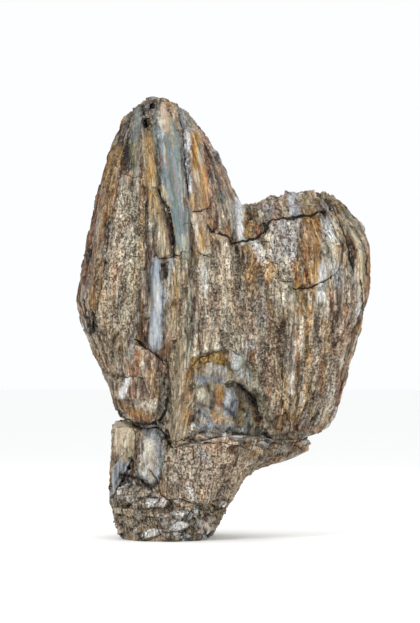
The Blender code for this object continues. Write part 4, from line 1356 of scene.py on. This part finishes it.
class STONE_OT_stage(bpy.types.Operator):
    """Sets the floor, the lights and the camera"""

    bl_idname = "stone.stage"
    bl_label = "Studio"

    def execute(self, context):
        settings = context.scene.stone
        bpy.ops.object.select_all(action="DESELECT")
        bpy.ops.mesh.primitive_plane_add(size=FLOOR_SIZE, location=(0, 0, -FLOOR_GAP))
        floor = context.object
        floor.name = "studio_floor"
        material = bpy.data.materials.new("studio_floor")
        material.use_nodes = True
        shader = material.node_tree.nodes["Principled BSDF"]
        shader.inputs["Base Color"].default_value = (*settings.floor, 1)
        shader.inputs["Roughness"].default_value = 0.9
        floor.data.materials.append(material)
        centre = (CAMERA_X, 0, CAMERA_Z)
        area_light("key", (-2.6, -4.6, 5.2), centre, 2.4, 190)
        area_light("fill", (4.2, -4.8, 2.6), centre, 4.0, 60)
        area_light("back", (1.0, 4.5, 4.0), centre, 4.0, 90)
        world = bpy.data.worlds.new("studio")
        world.use_nodes = True
        sky = world.node_tree.nodes["Background"]
        sky.inputs["Color"].default_value = (0.98, 0.99, 1.0, 1)
        sky.inputs["Strength"].default_value = 1.0
        context.scene.world = world
        camera = bpy.data.cameras.new("camera")
        camera.sensor_fit = "VERTICAL"
        camera.sensor_height = SENSOR_HEIGHT
        camera.lens = SENSOR_HEIGHT * CAMERA_DISTANCE / (PICTURE_ROWS * METRES_PER_PIXEL)
        camera_object = bpy.data.objects.new("camera", camera)
        camera_object.location = (CAMERA_X, -CAMERA_DISTANCE, CAMERA_Z)
        camera_object.rotation_euler = (math.pi / 2, 0, 0)
        context.scene.collection.objects.link(camera_object)
        context.scene.camera = camera_object
        context.scene.view_settings.view_transform = "Standard"
        return {"FINISHED"}


class STONE_PT_panel(bpy.types.Panel):
    """Lists the stone's settings and its pieces."""

    bl_idname = "STONE_PT_panel"
    bl_label = "Petrified wood"
    bl_space_type = "VIEW_3D"
    bl_region_type = "UI"
    bl_category = "Stone"

    def draw(self, context):
        settings = context.scene.stone
        for name in StoneSettings.__annotations__:
            self.layout.prop(settings, name)
        for operator in OPERATORS:
            self.layout.operator(operator.bl_idname)


OPERATORS = (STONE_OT_trunk, STONE_OT_root_block, STONE_OT_loose_pieces, STONE_OT_stage)
CLASSES = (StoneSettings, *OPERATORS, STONE_PT_panel)


def register():
    for cls in CLASSES:
        bpy.utils.register_class(cls)
    bpy.types.Scene.stone = PointerProperty(type=StoneSettings)


def unregister():
    del bpy.types.Scene.stone
    for cls in reversed(CLASSES):
        bpy.utils.unregister_class(cls)


def main():
    register()
    bpy.ops.stone.trunk()
    bpy.ops.stone.root_block()
    bpy.ops.stone.loose_pieces()
    bpy.ops.stone.stage()


if __name__ == "__main__":
    main()
